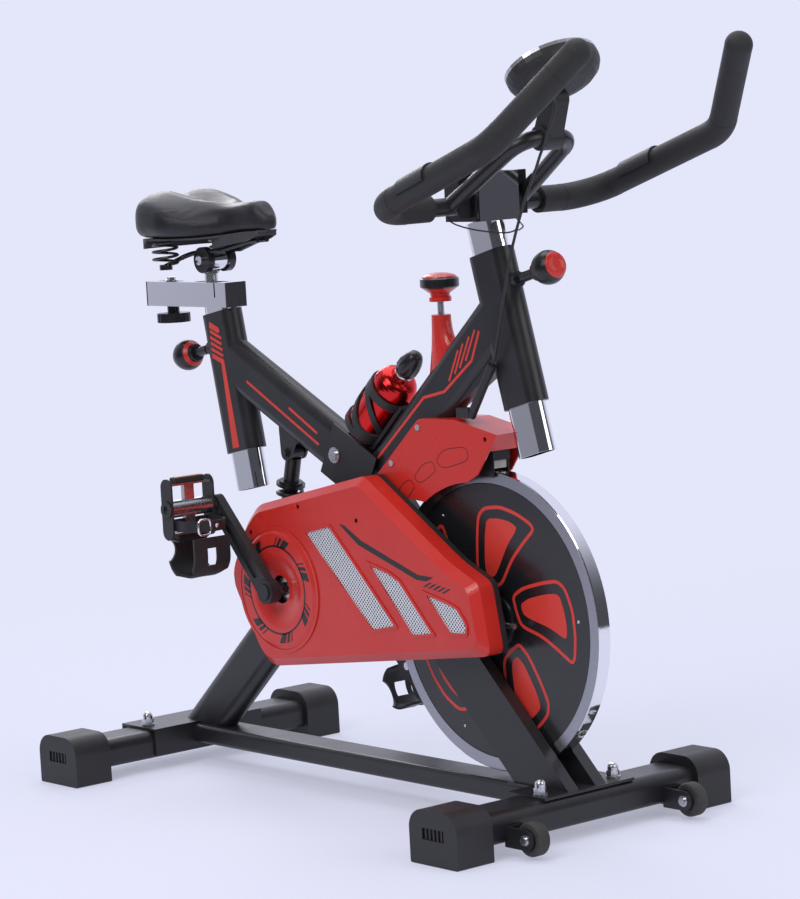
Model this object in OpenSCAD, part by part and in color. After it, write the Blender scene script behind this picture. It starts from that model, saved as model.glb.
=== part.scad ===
// Indoor spin bike with a belt-driven flywheel, a felt brake and a sprung seat stay.
// Frame: +X forward, +Y to the rider's left, +Z up; the origin is on the floor under the bike's middle.

/* [Overall] */
// Length from the rear feet to the tips of the handlebar
overall_len = 1192; // [1170:1:1220]
// Width across the feet
base_w = 520; // [480:1:600]
// Distance between the two cross feet
foot_span = 888; // [876:1:900]

/* [Feet] */
// Fore-and-aft depth of a cross foot's tube
foot_d = 80; // [74:1:84]
// Height of a cross foot's tube
foot_h = 42; // [38:1:48]
// Height of the tube's underside above the floor
foot_z = 20; // [18:1:24]
// Length of an end cap along the foot
cap_len = 65; // [50:1:80]
// Fore-and-aft depth of an end cap
cap_d = 98; // [92:1:104]
// Height of an end cap
cap_h = 76; // [72:1:84]
// Radius of a transport wheel
roller_r = 24; // [20:0.5:25]
// Width of a transport wheel
roller_w = 20; // [14:1:26]

/* [Frame tubes] */
// Depth of the flat-sided oval tubes
oval_d = 78; // [74:1:80]
// Width of the flat-sided oval tubes
oval_w = 36; // [34:1:36]
// Wall of the steel tubes
wall = 2.5; // [2:0.1:3]
// Rise of the main tube from the floor, in degrees
main_angle = 41.7; // [41:0.1:42.4]
// Distance along the main tube to the head tube
head_s = 1045; // [1035:1:1055]
// Backward lean of the head tube, in degrees
head_tilt = 15; // [14:0.5:16]
// Length of the head tube above the main tube
head_above = 85; // [80:1:95]
// Length of the head tube below the main tube
head_below = 135; // [125:1:140]
// Depth of a front leg
leg_d = 78; // [70:1:82]
// Width of a front leg
leg_w = 20; // [18:1:20]
// Half of the gap between the front legs
leg_gap = 16; // [15.5:0.5:17]
// Width of the base beam
beam_w = 58; // [50:1:66]
// Height of the base beam
beam_h = 29; // [26:1:32]

/* [Flywheel and drive] */
// Outer radius of the flywheel
wheel_r = 215; // [210:1:217]
// Width of the flywheel's rim
rim_w = 22; // [18:1:24]
// Radial width of the bright ring beside the printed disc
rim_band = 19; // [14:1:24]
// Running gap between the flywheel and the base beam
wheel_gap = 9; // [7:1:12]
// Distance from the crank axle to the flywheel axle
drive_len = 398.7; // [394:0.1:402]
// Length of a crank arm
crank_len = 170; // [160:1:172]
// Direction of the right crank arm at rest, in degrees
crank_angle = 132; // [100:1:150]
// Radius of the large belt pulley
big_r = 90; // [80:1:95]
// Radius of the small belt pulley
small_r = 26; // [22:1:30]
// Width of the drive belt
belt_w = 16; // [12:1:18]
// Diameter of the crank axle and of the flywheel axle
axle_d = 20; // [17:1:22]

/* [Seat] */
// Fall of the seat stay from the seat tube to its pivot, in degrees
stay_angle = 26.5; // [26:0.5:27]
// Length of the seat stay from its pivot to the seat tube
stay_len = 307; // [302:1:312]
// Backward lean of the seat tube, in degrees
seat_tilt = 11.2; // [10.5:0.1:12]
// Depth of the seat and handlebar posts
post_d = 66; // [62:1:68]
// Width of the seat and handlebar posts
post_w = 28; // [26:1:29]
// Length of the seat rail
rail_len = 202; // [198:1:216]
// Height and width of the seat rail
rail_h = 38; // [36:1:40]
// Length of the saddle
saddle_len = 256; // [245:1:265]
// Width of the saddle
saddle_w = 188; // [170:1:200]

/* [Handlebar] */
// Outer diameter of the bare handlebar tube
bar_d = 25.4; // [22:0.1:27]
// Outer diameter of the foam grips
grip_d = 38; // [34:1:40]
// Half width of the handlebar at its tips
tip_y = 148; // [140:1:160]
// Half width of the handlebar at its forward bends
bend_y = 213; // [205:1:220]
// Half width of the handlebar at its rear corners
corner_y = 202; // [196:1:208]
// Height of the cross bar above the floor
bar_z = 874; // [870:1:880]
// Width of the console
console_w = 146; // [130:1:150]

/* [Hidden] */
$fn = 48;

// Fits
running = 0.05;
slip = 0.3;
post_fit = 0.1;
bush_len = 28;
eps = 0.01;
// Bends stand proud of the straight runs by this much and overlap them by that much
lip = 0.3;
lap = 1.5;

// Feet
rear_x = -overall_len / 2 + cap_d / 2;
front_x = rear_x + foot_span;
foot_top = foot_z + foot_h;
plate_t = 4;
seat_z = foot_top + plate_t;
cap_wall = 8;
cap_round = 28;
channel_w = 210;
plate_w = 170;
nut_front_y = 69;
nut_rear_y = 88;
bolt_d = 10;
roller_y = 150;
roller_x = front_x + foot_d / 2 + 40;
roller_z = roller_r + 5;
roller_bolt_d = 8;

// Main tube: s runs up its centre line from the rear foot, n stands square above it
main_start = [rear_x + 16, 30];
function heading(a) = [cos(a), sin(a)];
function main_at(s, n = 0) = main_start + s * heading(main_angle) + n * heading(main_angle + 90);
tube_top = oval_d / 2;

// Crank axle, flywheel and front legs
bb = main_at(438, -16.5);
bb_shell_d = 46;
bb_shell_w = 68;
beam_top = foot_top;
wheel_z = beam_top + wheel_gap + wheel_r;
wheel = [bb[0] + sqrt(pow(drive_len, 2) - pow(bb[1] - wheel_z, 2)), wheel_z];
leg_foot = [front_x - 27, seat_z];
leg_head = main_at(622, 0);
leg_out = leg_gap + leg_w;
bearing_d = 40;
bearing_w = 12;
dropout_r = 30;

// Belt drive, all in one plane beside the right leg
case_in = leg_out;
case_depth = 47;
case_out = case_in + case_depth;
case_split = 10;
case_wall = 2.5;
case_bevel = 12;
belt_y = -(case_in + 23);
belt_t = 4;

// Cranks and pedals
crank_t = 18;
crank_right_y = -(case_out + 10);
crank_left_y = 57;
pedal_right_dir = heading(crank_angle);
pedal_right = bb + crank_len * pedal_right_dir;
pedal_left = bb - crank_len * pedal_right_dir;
pedal_w = 84;
pedal_len = 92;
pedal_h = 26;
spindle_d = 12;
pedal_right_y = crank_right_y - crank_t - 4 - pedal_w / 2;
pedal_left_y = crank_left_y + crank_t + 4 + pedal_w / 2;
pedal_right_turn = 90;
pedal_left_turn = 160;

// Seat stay, seat tube and shock absorber
pivot = main_at(629, 80);
pivot_bolt_d = 12;
yoke_in = oval_w / 2 + 4;
yoke_t = 4;
stay_end = pivot + stay_len * heading(180 - stay_angle);
seat_up = heading(90 + seat_tilt);
seat_back = heading(180 + seat_tilt);
seat_above = 70;
seat_below = 147;
seat_top = stay_end + seat_above * seat_up;
shock_low = main_at(405, 79);
shock_up = pivot + 129 * heading(181.8);
shock_dir = (shock_up - shock_low) / norm(shock_up - shock_low);
shock_angle = atan2(shock_dir[1], shock_dir[0]);
shock_len = norm(shock_up - shock_low);
shock_bolt_d = 8;
shock_body_d = 24;
shock_rod_d = 10;
ring_d = 44;
coil_d = 36;
coil_wire = 7;

// Seat post, rail and saddle
pin_d = 10;
pin_drop = 50;
pin_throw = 8;
pitch = 20;
seat_holes = 6;
knob_ball = 48;
ball_at = 106;
rail_z = seat_top[1] + 8 + rail_h / 2;
rail_front = seat_top[0] + 36;
rail_mid = rail_front - rail_len / 2;
seat_post_low = 206;
rail_wall = 2.5;
slide = 25;
stem_x = rail_front - 58;
stem_d = 20;
lock_x = rail_front - 162;
lock_d = 8;
clamp = [stem_x + 12, rail_z + rail_h / 2 + 35];
saddle_z = clamp[1] + 41;
saddle_nose = clamp[0] + 158;
spring_at = [clamp[0] - 53, 55];

// Handlebar
head_mid = main_at(head_s);
head_up = heading(90 + head_tilt);
head_fwd = heading(head_tilt);
head_top = head_mid + head_above * head_up;
head_bottom = head_mid - head_below * head_up;
bar_post_above = 46;
bar_post_low = 70;
bar_post_len = head_above + head_below + bar_post_low + bar_post_above;
bar_holes_up = 1;
bar_holes_down = 6;
post_head = head_top + bar_post_above * head_up;
bar_x = post_head[0];
block_w = 74;
block_d = 68;
block_h = bar_z + 45 - post_head[1];
tip = [overall_len / 2 - grip_d / 2, tip_y, bar_z + 199];
bend = [tip[0] - 103, bend_y, bar_z + 86];
corner = [bar_x, corner_y, bar_z];
bend_r = 70;
corner_r = 60;
grip_start = 102;
end_cap_len = 38;
loop_foot = [bar_x, 64, bar_z];
loop_front = [bar_x + 139, 48, bar_z + 89];
loop_r = 34;
loop_d = bar_d - 3;
console = [loop_front[0] + 15, bar_z + 184];
console_tilt = 35;
console_h = 0.8 * console_w;
console_deep = 34;
bezel_t = 5;
button_d = 12;
button_x = -0.34 * console_h;

// Brake, resistance knob and bottle
rod_x = wheel[0] - 92;
rod_d = 10;
brake_pivot = wheel + [25, wheel_r + 47];
brake_pin_d = 8;
arm_w = 14;
arm_half = 6;
pad_x = wheel[0] - 8;
pad_gap = 3.5;
pad_t = 12;
pad_len = 50;
cover_half = 33;
cover_wall = 2.5;
brake_tail = [rod_x, brake_pivot[1] - 14];
rod_low = brake_tail[1] + arm_half + slip;
knob_z = 737;
knob_d = 56;
bottle_d = 66;
bottle_n = tube_top + 8 + bottle_d / 2;
bottle_s = 686;
bottle_body = 98;
cage_t = 2.7;

// Sensor cable from the console down to the sleeve: x, y, z in steps chosen by eye
cable_d = 4;
sleeve_d = 13;
sleeve_low = [wheel[0] - 9, -26, wheel[1] + wheel_r + 77];
sleeve_top = sleeve_low + [50, 0, 74];
cable_route = [[395, -30, 1035], [399, -30, 1029], [403, -30, 1021], [405, -31, 1010], [404, -32, 998],
  [399, -32, 986], [392, -33, 972], [384, -33, 958], [374, -34, 940], [363, -34, 920], [351, -35, 898],
  [339, -36, 876], [328, -36, 854], [317, -36, 830], [307, -36, 806], [297, -35, 780], [287, -34, 752],
  [277, -32, 724], [268, -30, 700], [259, -28, 678], [253, -26.5, 664], [248.5, -26, 655.7],
  [242.5, -26, 646.8]];

// Shared shapes

// Places children at a point of the XZ plane
module at(p, y = 0) translate([p[0], y, p[1]]) children();

// Turns a drawing in x and z into a slab between two y planes
module slab(y0, y1) translate([0, max(y0, y1), 0]) rotate([90, 0, 0])
  linear_extrude(abs(y1 - y0)) children();

// Cylinder across the bike
module cross_rod(p, d, y0, y1) at(p, max(y0, y1)) rotate([90, 0, 0]) cylinder(d = d, h = abs(y1 - y0));

// Runs a profile from a point of the XZ plane in a direction; the profile's x lies in that plane
module run(p, a, len) at(p) rotate([0, 90 - a, 0]) linear_extrude(len) children();

// Flat-sided oval with round edges
module oval(d, w) {
  square([d - w, w], center = true);
  for (side = [-1, 1]) translate([side * (d - w) / 2, 0]) circle(d = w);
}

// Rectangle standing on the x axis with its own radius at the top and at the bottom
module arch(d, h, top_r, low_r) {
  translate([-d / 2, low_r]) square([d, h - top_r - low_r]);
  translate([top_r - d / 2, h - top_r - eps]) square([d - 2 * top_r, top_r + eps]);
  translate([low_r - d / 2, 0]) square([d - 2 * low_r, low_r + eps]);
  for (side = [-1, 1]) {
    translate([side * (d / 2 - top_r), h - top_r]) circle(r = top_r);
    translate([side * (d / 2 - low_r), low_r]) circle(r = low_r);
  }
}

// Two discs joined by their common tangents
module link(p, r, q, s) {
  gap = norm(q - p);
  swing = acos((r - s) / gap);
  aim = atan2(q[1] - p[1], q[0] - p[0]);
  translate(p) circle(r = r);
  translate(q) circle(r = s);
  polygon([p + r * heading(aim + swing), p + r * heading(aim - swing),
    q + s * heading(aim - swing), q + s * heading(aim + swing)]);
}

// Outline with every corner rounded by a curve that starts its own distance before the corner
function unit(v) = v / norm(v);
function wrap(list, i) = list[(i + len(list)) % len(list)];
function bow(a, b, c, t) = (1 - t) * (1 - t) * a + 2 * t * (1 - t) * b + t * t * c;
function rounded(pts, cuts, steps = 5) = [
  for (i = [0:len(pts) - 1])
    let (p = pts[i], a = p + cuts[i] * unit(wrap(pts, i - 1) - p),
      c = p + cuts[i] * unit(wrap(pts, i + 1) - p))
      for (k = [0:steps]) bow(a, p, c, k / steps)];
// Clockwise outline with every side moved inwards by the same distance
function right_of(v) = [v[1], -v[0]];
function inset(pts, by) = [
  for (i = [0:len(pts) - 1])
    let (a = right_of(unit(pts[i] - wrap(pts, i - 1))), b = right_of(unit(wrap(pts, i + 1) - pts[i])))
      pts[i] + by * (a + b) / (1 + a * b)];

// Skin over rings of points that all have the same count
module skin(rings) {
  count = len(rings[0]);
  last = len(rings) - 1;
  polyhedron(points = [for (ring = rings) each ring],
    faces = concat(
      [[for (i = [0:count - 1]) i]],
      [for (r = [0:last - 1], i = [0:count - 1])
        [r * count + i, (r + 1) * count + i, (r + 1) * count + (i + 1) % count]],
      [for (r = [0:last - 1], i = [0:count - 1])
        [r * count + i, (r + 1) * count + (i + 1) % count, r * count + (i + 1) % count]],
      [[for (i = [count - 1:-1:0]) last * count + i]]),
    convexity = 6);
}

// Round tube through points in space with a true elbow at each inner point
module washer(d, bore) difference() {
  circle(d = d);
  if (bore > 0) circle(d = bore);
}
module elbow(p, a, b, radius, d, bore) {
  across = unit(b - (a * b) * a);
  turn = acos(a * b);
  middle = p - a * radius * tan(turn / 2) + across * radius;
  up = cross(-across, a);
  multmatrix([for (i = [0:2]) [-across[i], a[i], up[i], middle[i]]])
    rotate_extrude(angle = turn) translate([radius, 0]) washer(d + 2 * lip, bore > 0 ? bore - 2 * lip : 0);
}
module stick(p, q, d, bore = 0) {
  along = unit(q - p);
  side = unit(abs(along[2]) > 0.9 ? cross([0, 1, 0], along) : cross([0, 0, 1], along));
  other = cross(along, side);
  multmatrix([for (i = [0:2]) [side[i], other[i], along[i], p[i]]])
    linear_extrude(norm(q - p)) washer(d, bore);
}
module bent_tube(pts, radii, d, bore = 0) {
  last = len(pts) - 1;
  dirs = [for (i = [0:last - 1]) unit(pts[i + 1] - pts[i])];
  cuts = [for (i = [0:last]) i == 0 || i == last ? 0 : radii[i - 1] * tan(acos(dirs[i - 1] * dirs[i]) / 2)];
  for (i = [0:last - 1]) stick(pts[i] + (cuts[i] > 0 ? cuts[i] - lap : 0) * dirs[i],
    pts[i + 1] - (cuts[i + 1] > 0 ? cuts[i + 1] - lap : 0) * dirs[i], d, bore);
  for (i = [1:last - 1]) elbow(pts[i], dirs[i - 1], dirs[i], radii[i - 1], d, bore);
}

// Tube swept along a list of points with a ring of eight points at each
function sweep_dir(pts, i) = unit(pts[min(i + 1, len(pts) - 1)] - pts[max(i - 1, 0)]);
function sweep_rings(pts, d, flat_side) = [
  for (i = [0:len(pts) - 1])
    let (along = sweep_dir(pts, i), side = unit(cross(flat_side, along)), other = cross(along, side))
      [for (k = [0:7]) pts[i] + d / 2 * (cos(45 * k) * side + sin(45 * k) * other)]];

// Coil spring standing on the origin along z, with ground ends
module coil(radius, wire, height, turns) {
  steps = 14 * turns;
  rise = height - wire;
  skin(sweep_rings([for (i = [0:steps])
    [radius * cos(360 * i / 14), radius * sin(360 * i / 14), wire / 2 + rise * i / steps]], wire, [0, 0, 1]));
}

// Domed nut on its washer, with the bolt that comes up through the foot
module dome_bolt(x, y) {
  translate([x, y, seat_z]) {
    cylinder(d = 21, h = 2);
    translate([0, 0, 2 - eps]) cylinder(d = 19, h = 8, $fn = 6);
    translate([0, 0, 10]) cylinder(d = 15.5, h = 4);
    translate([0, 0, 14 - eps]) sphere(d = 15.4);
  }
  translate([x, y, foot_z - 5]) cylinder(d = bolt_d, h = seat_z - foot_z + 6);
  translate([x, y, foot_z - 5]) cylinder(d = 20, h = 5);
}
module foot_holes(x, y) for (side = [-1, 1]) translate([x, side * y, foot_z - 1])
  cylinder(d = bolt_d + 2 * running, h = seat_z - foot_z + 2);

// Frame

module main_tube(grow = 0) run(main_at(-20), main_angle, head_s + 20)
  oval(oval_d + 2 * grow, oval_w + 2 * grow);
// Inside of a post's outer tube: a sliding fit at both ends and more room between
module post_space(top, up, a, len) {
  run(top - (len + 40) * up, a, len + 80) oval(post_d + 2 * post_fit, post_w + 2 * post_fit);
  run(top - (len - bush_len) * up, a, len - 2 * bush_len) oval(oval_d - 2 * wall, oval_w - 2 * wall);
}
module beam_solids() {
  translate([rear_x + foot_d / 2 + slip + plate_t, 0, beam_top - beam_h]) rotate([90, 0, 90])
    linear_extrude(front_x - rear_x - foot_d - slip - plate_t) arch(beam_w, beam_h, 6, 6);
  translate([rear_x, 0, 0]) slab(-channel_w / 2, channel_w / 2) difference() {
    translate([-foot_d / 2 - slip - plate_t, foot_z + 4]) square([foot_d + 2 * (slip + plate_t), foot_h]);
    translate([-foot_d / 2 - slip, 0]) square([foot_d + 2 * slip, foot_top]);
  }
}
// Yoke beside the stay's pivot: t runs up the stay, w stands square to it
function by_stay(t, w) = pivot + t * heading(180 - stay_angle) + w * heading(90 - stay_angle);
module yoke() for (side = [-1, 1]) {
  slab(side * yoke_in, side * (yoke_in + yoke_t))
    polygon([by_stay(20, tube_top + 4), by_stay(-86, tube_top + 4), by_stay(-86, 0),
      by_stay(-30, -tube_top), by_stay(20, -tube_top)]);
  slab(side * (oval_w / 2 - 1), side * (yoke_in + 1))
    polygon([main_at(656, -15), main_at(640, 18), main_at(682, 18), main_at(684, -15)]);
}
module main_frame() color([0.09, 0.09, 0.1]) difference() {
  union() {
    difference() {
      main_tube();
      beam_solids();
      translate([-overall_len, -oval_d, -oval_d]) cube([2 * overall_len, 2 * oval_d, oval_d + beam_top]);
      run(main_at(-60), main_angle, head_s + 40) oval(oval_d - 2 * wall, oval_w - 2 * wall);
    }
    run(head_bottom, 90 + head_tilt, head_above + head_below) oval(oval_d, oval_w);
    // Wedge that deepens the main tube where it meets the head tube
    slab(-12, 12) polygon([main_at(880, -tube_top + 4), main_at(head_s - 20, -tube_top + 4),
      main_at(head_s - 20, -tube_top - 14), main_at(head_s - 70, -tube_top - 12)]);
    cross_rod(bb, bb_shell_d, -bb_shell_w / 2, bb_shell_w / 2);
    yoke();
    for (side = [-1, 1]) {
      // Ears that carry the lower eye of the shock absorber
      slab(side * 12, side * 16) link(shock_low, 13, main_at(405, tube_top - 4), 24);
      // Hangers that carry the brake arm
      slab(side * (oval_w / 2 - 1), side * (oval_w / 2 + 3))
        link(brake_pivot, 9, main_at(797, -22), 9);
    }
    intersection() {
      translate([rod_x, 0, 0]) cylinder(d = rod_d + 8, h = head_top[1]);
      main_tube();
    }
    run(head_top - pin_drop * head_up + (tube_top - 4) * head_fwd, head_tilt, 9) circle(d = 22);
  }
  post_space(head_top, head_up, 90 + head_tilt, head_above + head_below);
  cross_rod(bb, bearing_d, -bb_shell_w, bb_shell_w);
  cross_rod(pivot, pivot_bolt_d + 2 * running, -oval_d, oval_d);
  cross_rod(shock_low, shock_bolt_d + 2 * running, -oval_d, oval_d);
  cross_rod(brake_pivot, brake_pin_d + 2 * running, -oval_d, oval_d);
  translate([rod_x, 0, 0]) cylinder(d = rod_d + 2 * running, h = head_top[1]);
  run(head_top - pin_drop * head_up, head_tilt, oval_d) circle(d = pin_d + 2 * running);
}

leg_aim = unit(leg_head - leg_foot);
leg_side = [leg_aim[1], -leg_aim[0]];
leg_angle = atan2(leg_aim[1], leg_aim[0]);
module leg_band(d, low, high) polygon([
  leg_foot + [d / 2 / leg_aim[1], 0] + low / leg_aim[1] * leg_aim,
  leg_head + d / 2 * leg_side + high * leg_aim,
  leg_head - d / 2 * leg_side + high * leg_aim,
  leg_foot - [d / 2 / leg_aim[1], 0] + low / leg_aim[1] * leg_aim]);
// Point of the leg's centre line that is nearest to the flywheel axle
leg_near = leg_foot + ((wheel - leg_foot) * leg_aim) * leg_aim;
module fork_legs() color([0.08, 0.08, 0.09]) difference() {
  union() {
    for (side = [-1, 1]) {
      difference() {
        slab(side * leg_gap, side * leg_out) leg_band(leg_d, 0, 8);
        slab(side * (leg_gap + wall), side * (leg_out - wall)) leg_band(leg_d - 2 * wall, -1, -12);
      }
      slab(side * leg_gap, side * leg_out) link(wheel, dropout_r, leg_near, dropout_r);
    }
    translate([front_x - foot_d / 2 - 4, -plate_w / 2, foot_top]) cube([foot_d - 2, plate_w, plate_t]);
    translate([front_x - foot_d / 2 - 52, -leg_out - 4, foot_top]) cube([52, 2 * leg_out + 8, plate_t]);
  }
  main_tube(0);
  yoke();
  cross_rod(wheel, bearing_d, -oval_d, oval_d);
  foot_holes(front_x + 8, nut_front_y);
}

module base_beam() color([0.08, 0.08, 0.09]) difference() {
  beam_solids();
  translate([rear_x + foot_d / 2, 0, beam_top - beam_h + wall]) rotate([90, 0, 90])
    linear_extrude(foot_span) arch(beam_w - 2 * wall, beam_h - 2 * wall, 4, 4);
  foot_holes(rear_x + 3, nut_rear_y);
}

module foot_tube(x) translate([x, 0, foot_z])
  slab(cap_wall - base_w / 2, base_w / 2 - cap_wall) difference() {
  arch(foot_d, foot_h, 16, 6);
  translate([0, wall]) arch(foot_d - 2 * wall, foot_h - 2 * wall, 14, 4);
}
module rear_stabilizer() color([0.08, 0.08, 0.09]) difference() {
  foot_tube(rear_x);
  foot_holes(rear_x + 3, nut_rear_y);
}
module roller_fork(y) {
  for (side = [-1, 1]) slab(y + side * (roller_w / 2 + 2), y + side * (roller_w / 2 + 6)) difference() {
    union() {
      translate([roller_x, roller_z]) circle(r = 14);
      translate([front_x + foot_d / 2 - 1, roller_z - 14]) square([roller_x - front_x - foot_d / 2 + 1, 28]);
    }
    translate([roller_x, roller_z]) circle(d = roller_bolt_d + 2 * running);
  }
  slab(y - roller_w / 2 - 6, y + roller_w / 2 + 6)
    translate([front_x + foot_d / 2 - 1, roller_z - 14]) square([5, 28]);
}
module front_stabilizer() color([0.08, 0.08, 0.09]) difference() {
  union() {
    foot_tube(front_x);
    for (side = [-1, 1]) roller_fork(side * roller_y);
  }
  foot_holes(front_x + 8, nut_front_y);
}

module end_cap(x, side) {
  difference() {
    translate([x, 0, 0]) slab(side * (base_w / 2 - cap_len), side * base_w / 2)
      arch(cap_d, cap_h, cap_round, 3);
    translate([x, 0, foot_z]) slab(side * (base_w / 2 - cap_len - 1), side * (base_w / 2 - cap_wall))
      arch(foot_d + 2 * running, foot_h + running, 16, 6);
    translate([x - 22, side * base_w / 2 - 4, 35]) cube([44, 8, 16]);
  }
  for (rib = [-2:2]) translate([x + 8 * rib - 1.5, side * (base_w / 2 - 3) - 1.5, 35]) cube([3, 3, 16]);
}
module stabilizer_end_caps() color([0.06, 0.06, 0.07])
  for (x = [rear_x, front_x], side = [-1, 1]) end_cap(x, side);

module transport_wheel(side) color([0.1, 0.1, 0.1])
  at([roller_x, roller_z], side * roller_y) rotate([90, 0, 0])
  rotate_extrude() difference() {
    union() {
      translate([roller_bolt_d / 2 + running, -roller_w / 2]) square([roller_r - 8, roller_w]);
      translate([roller_r - 9, -roller_w / 2 + 4]) square([9, roller_w - 8]);
      for (edge = [-1, 1]) translate([roller_r - 4.1, edge * (roller_w / 2 - 4)]) circle(r = 4);
    }
    for (edge = [-1, 1]) translate([12, edge * roller_w / 2]) square([5, 5], center = true);
  }
module transport_wheel_right() transport_wheel(-1);
module transport_wheel_left() transport_wheel(1);

module hex_bolt(p, d, y0, y1) {
  cross_rod(p, d, y0, y1);
  for (end = [[y0, -1], [y1, 1]]) {
    cross_rod(p, 2 * d, end[0], end[0] + end[1] * 1.5);
    cross_rod(p, 1.4 * d, end[0] + end[1] * 1.4, end[0] + end[1] * 5);
  }
}
cover_screws = [main_at(814, -17), main_at(731, -16)];
module fasteners() color([0.8, 0.81, 0.83]) {
  for (side = [-1, 1]) {
    dome_bolt(front_x + 8, side * nut_front_y);
    dome_bolt(rear_x + 3, side * nut_rear_y);
    hex_bolt([roller_x, roller_z], roller_bolt_d, side * roller_y - roller_w / 2 - 6,
      side * roller_y + roller_w / 2 + 6);
    for (p = cover_screws) {
      cross_rod(p, 9, side * cover_half, side * (cover_half + 2.5));
      cross_rod(p, 4, side * oval_w / 2, side * (cover_half + 1));
    }
    // Belt tensioner screws on the dropouts
    translate([wheel[0] + dropout_r, side * (leg_gap + leg_w / 2), wheel[1]]) rotate([0, 90, 0])
      cylinder(d = 8, h = 30);
  }
  hex_bolt(pivot, pivot_bolt_d, -yoke_in - yoke_t, yoke_in + yoke_t);
  hex_bolt(shock_low, shock_bolt_d, -16, 16);
  hex_bolt(brake_pivot, brake_pin_d, -oval_w / 2 - 3, oval_w / 2 + 3);
}

// Belt case

case_corners = [bb + [-130, 11], bb + [-84, 93], bb + [-53, 123], bb + [199, 180],
  wheel + [-19, 90], wheel + [40, 64], wheel + [58, -36], bb + [-50, -122]];
case_cuts = [26, 14, 14, 8, 22, 12, 16, 28];
function case_line(by) = rounded(inset(case_corners, by), case_cuts);
function case_ring(pts, y) = [for (p = pts) [p[0], y, p[1]]];
module case_solid(by, y0, y1) skin([case_ring(case_line(by + case_bevel), y1),
  case_ring(case_line(by), y1 + case_bevel), case_ring(case_line(by), y0)]);
// Slanted windows of the case, measured from the crank axle
windows = [[[72, 90], [128, 103], [266, -31], [215, -41]],
  [[217, 53], [257, 44], [280, 34], [347, -35], [304, -41]],
  [[339, 20], [386, 10], [404, 4], [421, -17], [420, -28], [387, -31]]];
module window_shape(pts, by) translate(bb) polygon(rounded(inset(pts, by), [for (p = pts) 4], 3));
dish_r = 90;
module case_right() color([0.78, 0.1, 0.08]) difference() {
  union() {
    difference() {
      case_solid(0, -case_in - case_split, -case_out);
      case_solid(case_wall, -case_in - case_split + 1, -case_out + case_wall);
    }
    for (pts = windows) slab(-case_out - 2, -case_out + case_wall) window_shape(pts, -4);
    cross_rod(bb, 2 * dish_r + 10, -case_out - 2, -case_out + case_wall);
  }
  for (pts = windows) slab(-case_out - 3, -case_out + case_wall + 1) window_shape(pts, 0);
  cross_rod(bb, 2 * dish_r + 2 * running, -case_out - 3, -case_out + case_wall + 1);
  for (p = [[56, 128], [190, 116], [-62, 82], [-110, 8]])
    cross_rod(bb + p, 7, -case_out - 1, -case_out + 20);
}
module case_left() color([0.62, 0.08, 0.07]) difference() {
  slab(-case_in, -case_in - case_split) polygon(case_line(0));
  slab(-case_in - case_wall, -case_in - case_split - 1) polygon(case_line(case_wall));
  cross_rod(bb, 36, -case_in + 1, -case_in - case_split);
  cross_rod(wheel, bearing_d + 4, -case_in + 1, -case_in - case_split);
}
module crank_dish() color([0.76, 0.1, 0.08]) at(bb, -case_out) rotate([90, 0, 0]) rotate_extrude($fn = 96)
  polygon(concat([[21, -6], [21, -3]],
    [for (k = [0:8]) [24 + 36 * k / 8, -3 + 7 * pow(sin(90 * k / 8), 2)]],
    [[64, 4], [dish_r - 6, 4], [dish_r, 1], [dish_r, -case_wall], [66, -case_wall],
      [58, -case_wall - 1], [30, -6]]));
module mesh_inserts() color([0.75, 0.76, 0.78]) for (pts = windows)
  slab(-case_out + 0.3, -case_out + 1.8) window_shape(pts, running);

// Brake cover over the top of the flywheel

cover_r = wheel_r - 15;
cover_line = concat(
  [main_at(690, -6), main_at(820, -8), wheel + [-108, wheel_r + 71], wheel + [-37, wheel_r + 72],
    wheel + [51, wheel_r + 54.5], wheel + [6, wheel_r - 4]],
  [for (k = [0:10]) wheel + cover_r * heading(95 + 29 * k / 10)],
  [main_at(690, -40)]);
module cover_shell(side) color([0.7, 0.1, 0.09]) difference() {
  slab(0, side * cover_half) polygon(cover_line);
  slab(-side, side * (cover_half - cover_wall)) union() {
    polygon(inset(cover_line, cover_wall));
    translate(wheel) circle(r = wheel_r + 4);
    translate(wheel + [0, wheel_r - 30]) square([60, 60]);
  }
  main_tube(running);
  slab(side * (oval_w / 2 - 4), side * (cover_half + 1)) leg_band(leg_d + 1, 0, 9);
  for (p = cover_screws) cross_rod(p, 4 + 2 * running, side * (cover_half - 10), side * (cover_half + 1));
  cross_rod(brake_pivot, 7, side * (cover_half - 10), side * (cover_half + 1));
}
module upper_cover_right() cover_shell(-1);
module upper_cover_left() cover_shell(1);

// Crank drive and flywheel

module bearing(p, y0, y1, outer) slab(y0, y1) translate(p) difference() {
  circle(d = outer);
  circle(d = axle_d + 2 * running);
}
module bearings() color([0.6, 0.6, 0.62]) for (side = [-1, 1]) {
  bearing(bb, side * (bb_shell_w / 2 - bearing_w), side * bb_shell_w / 2, bearing_d);
  bearing(wheel, side * (leg_out - bearing_w), side * leg_out, bearing_d);
}
module crank_axle() color([0.5, 0.5, 0.52]) {
  cross_rod(bb, axle_d, crank_right_y, crank_left_y);
  at(bb) for (y = [[crank_right_y - crank_t, crank_right_y], [crank_left_y, crank_left_y + crank_t]])
    translate([-6.5, y[0], -6.5]) cube([13, y[1] - y[0], 13]);
  cross_rod(bb, axle_d + 7, belt_y + belt_w / 2 + 3, belt_y + belt_w / 2 + 7);
}
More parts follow.
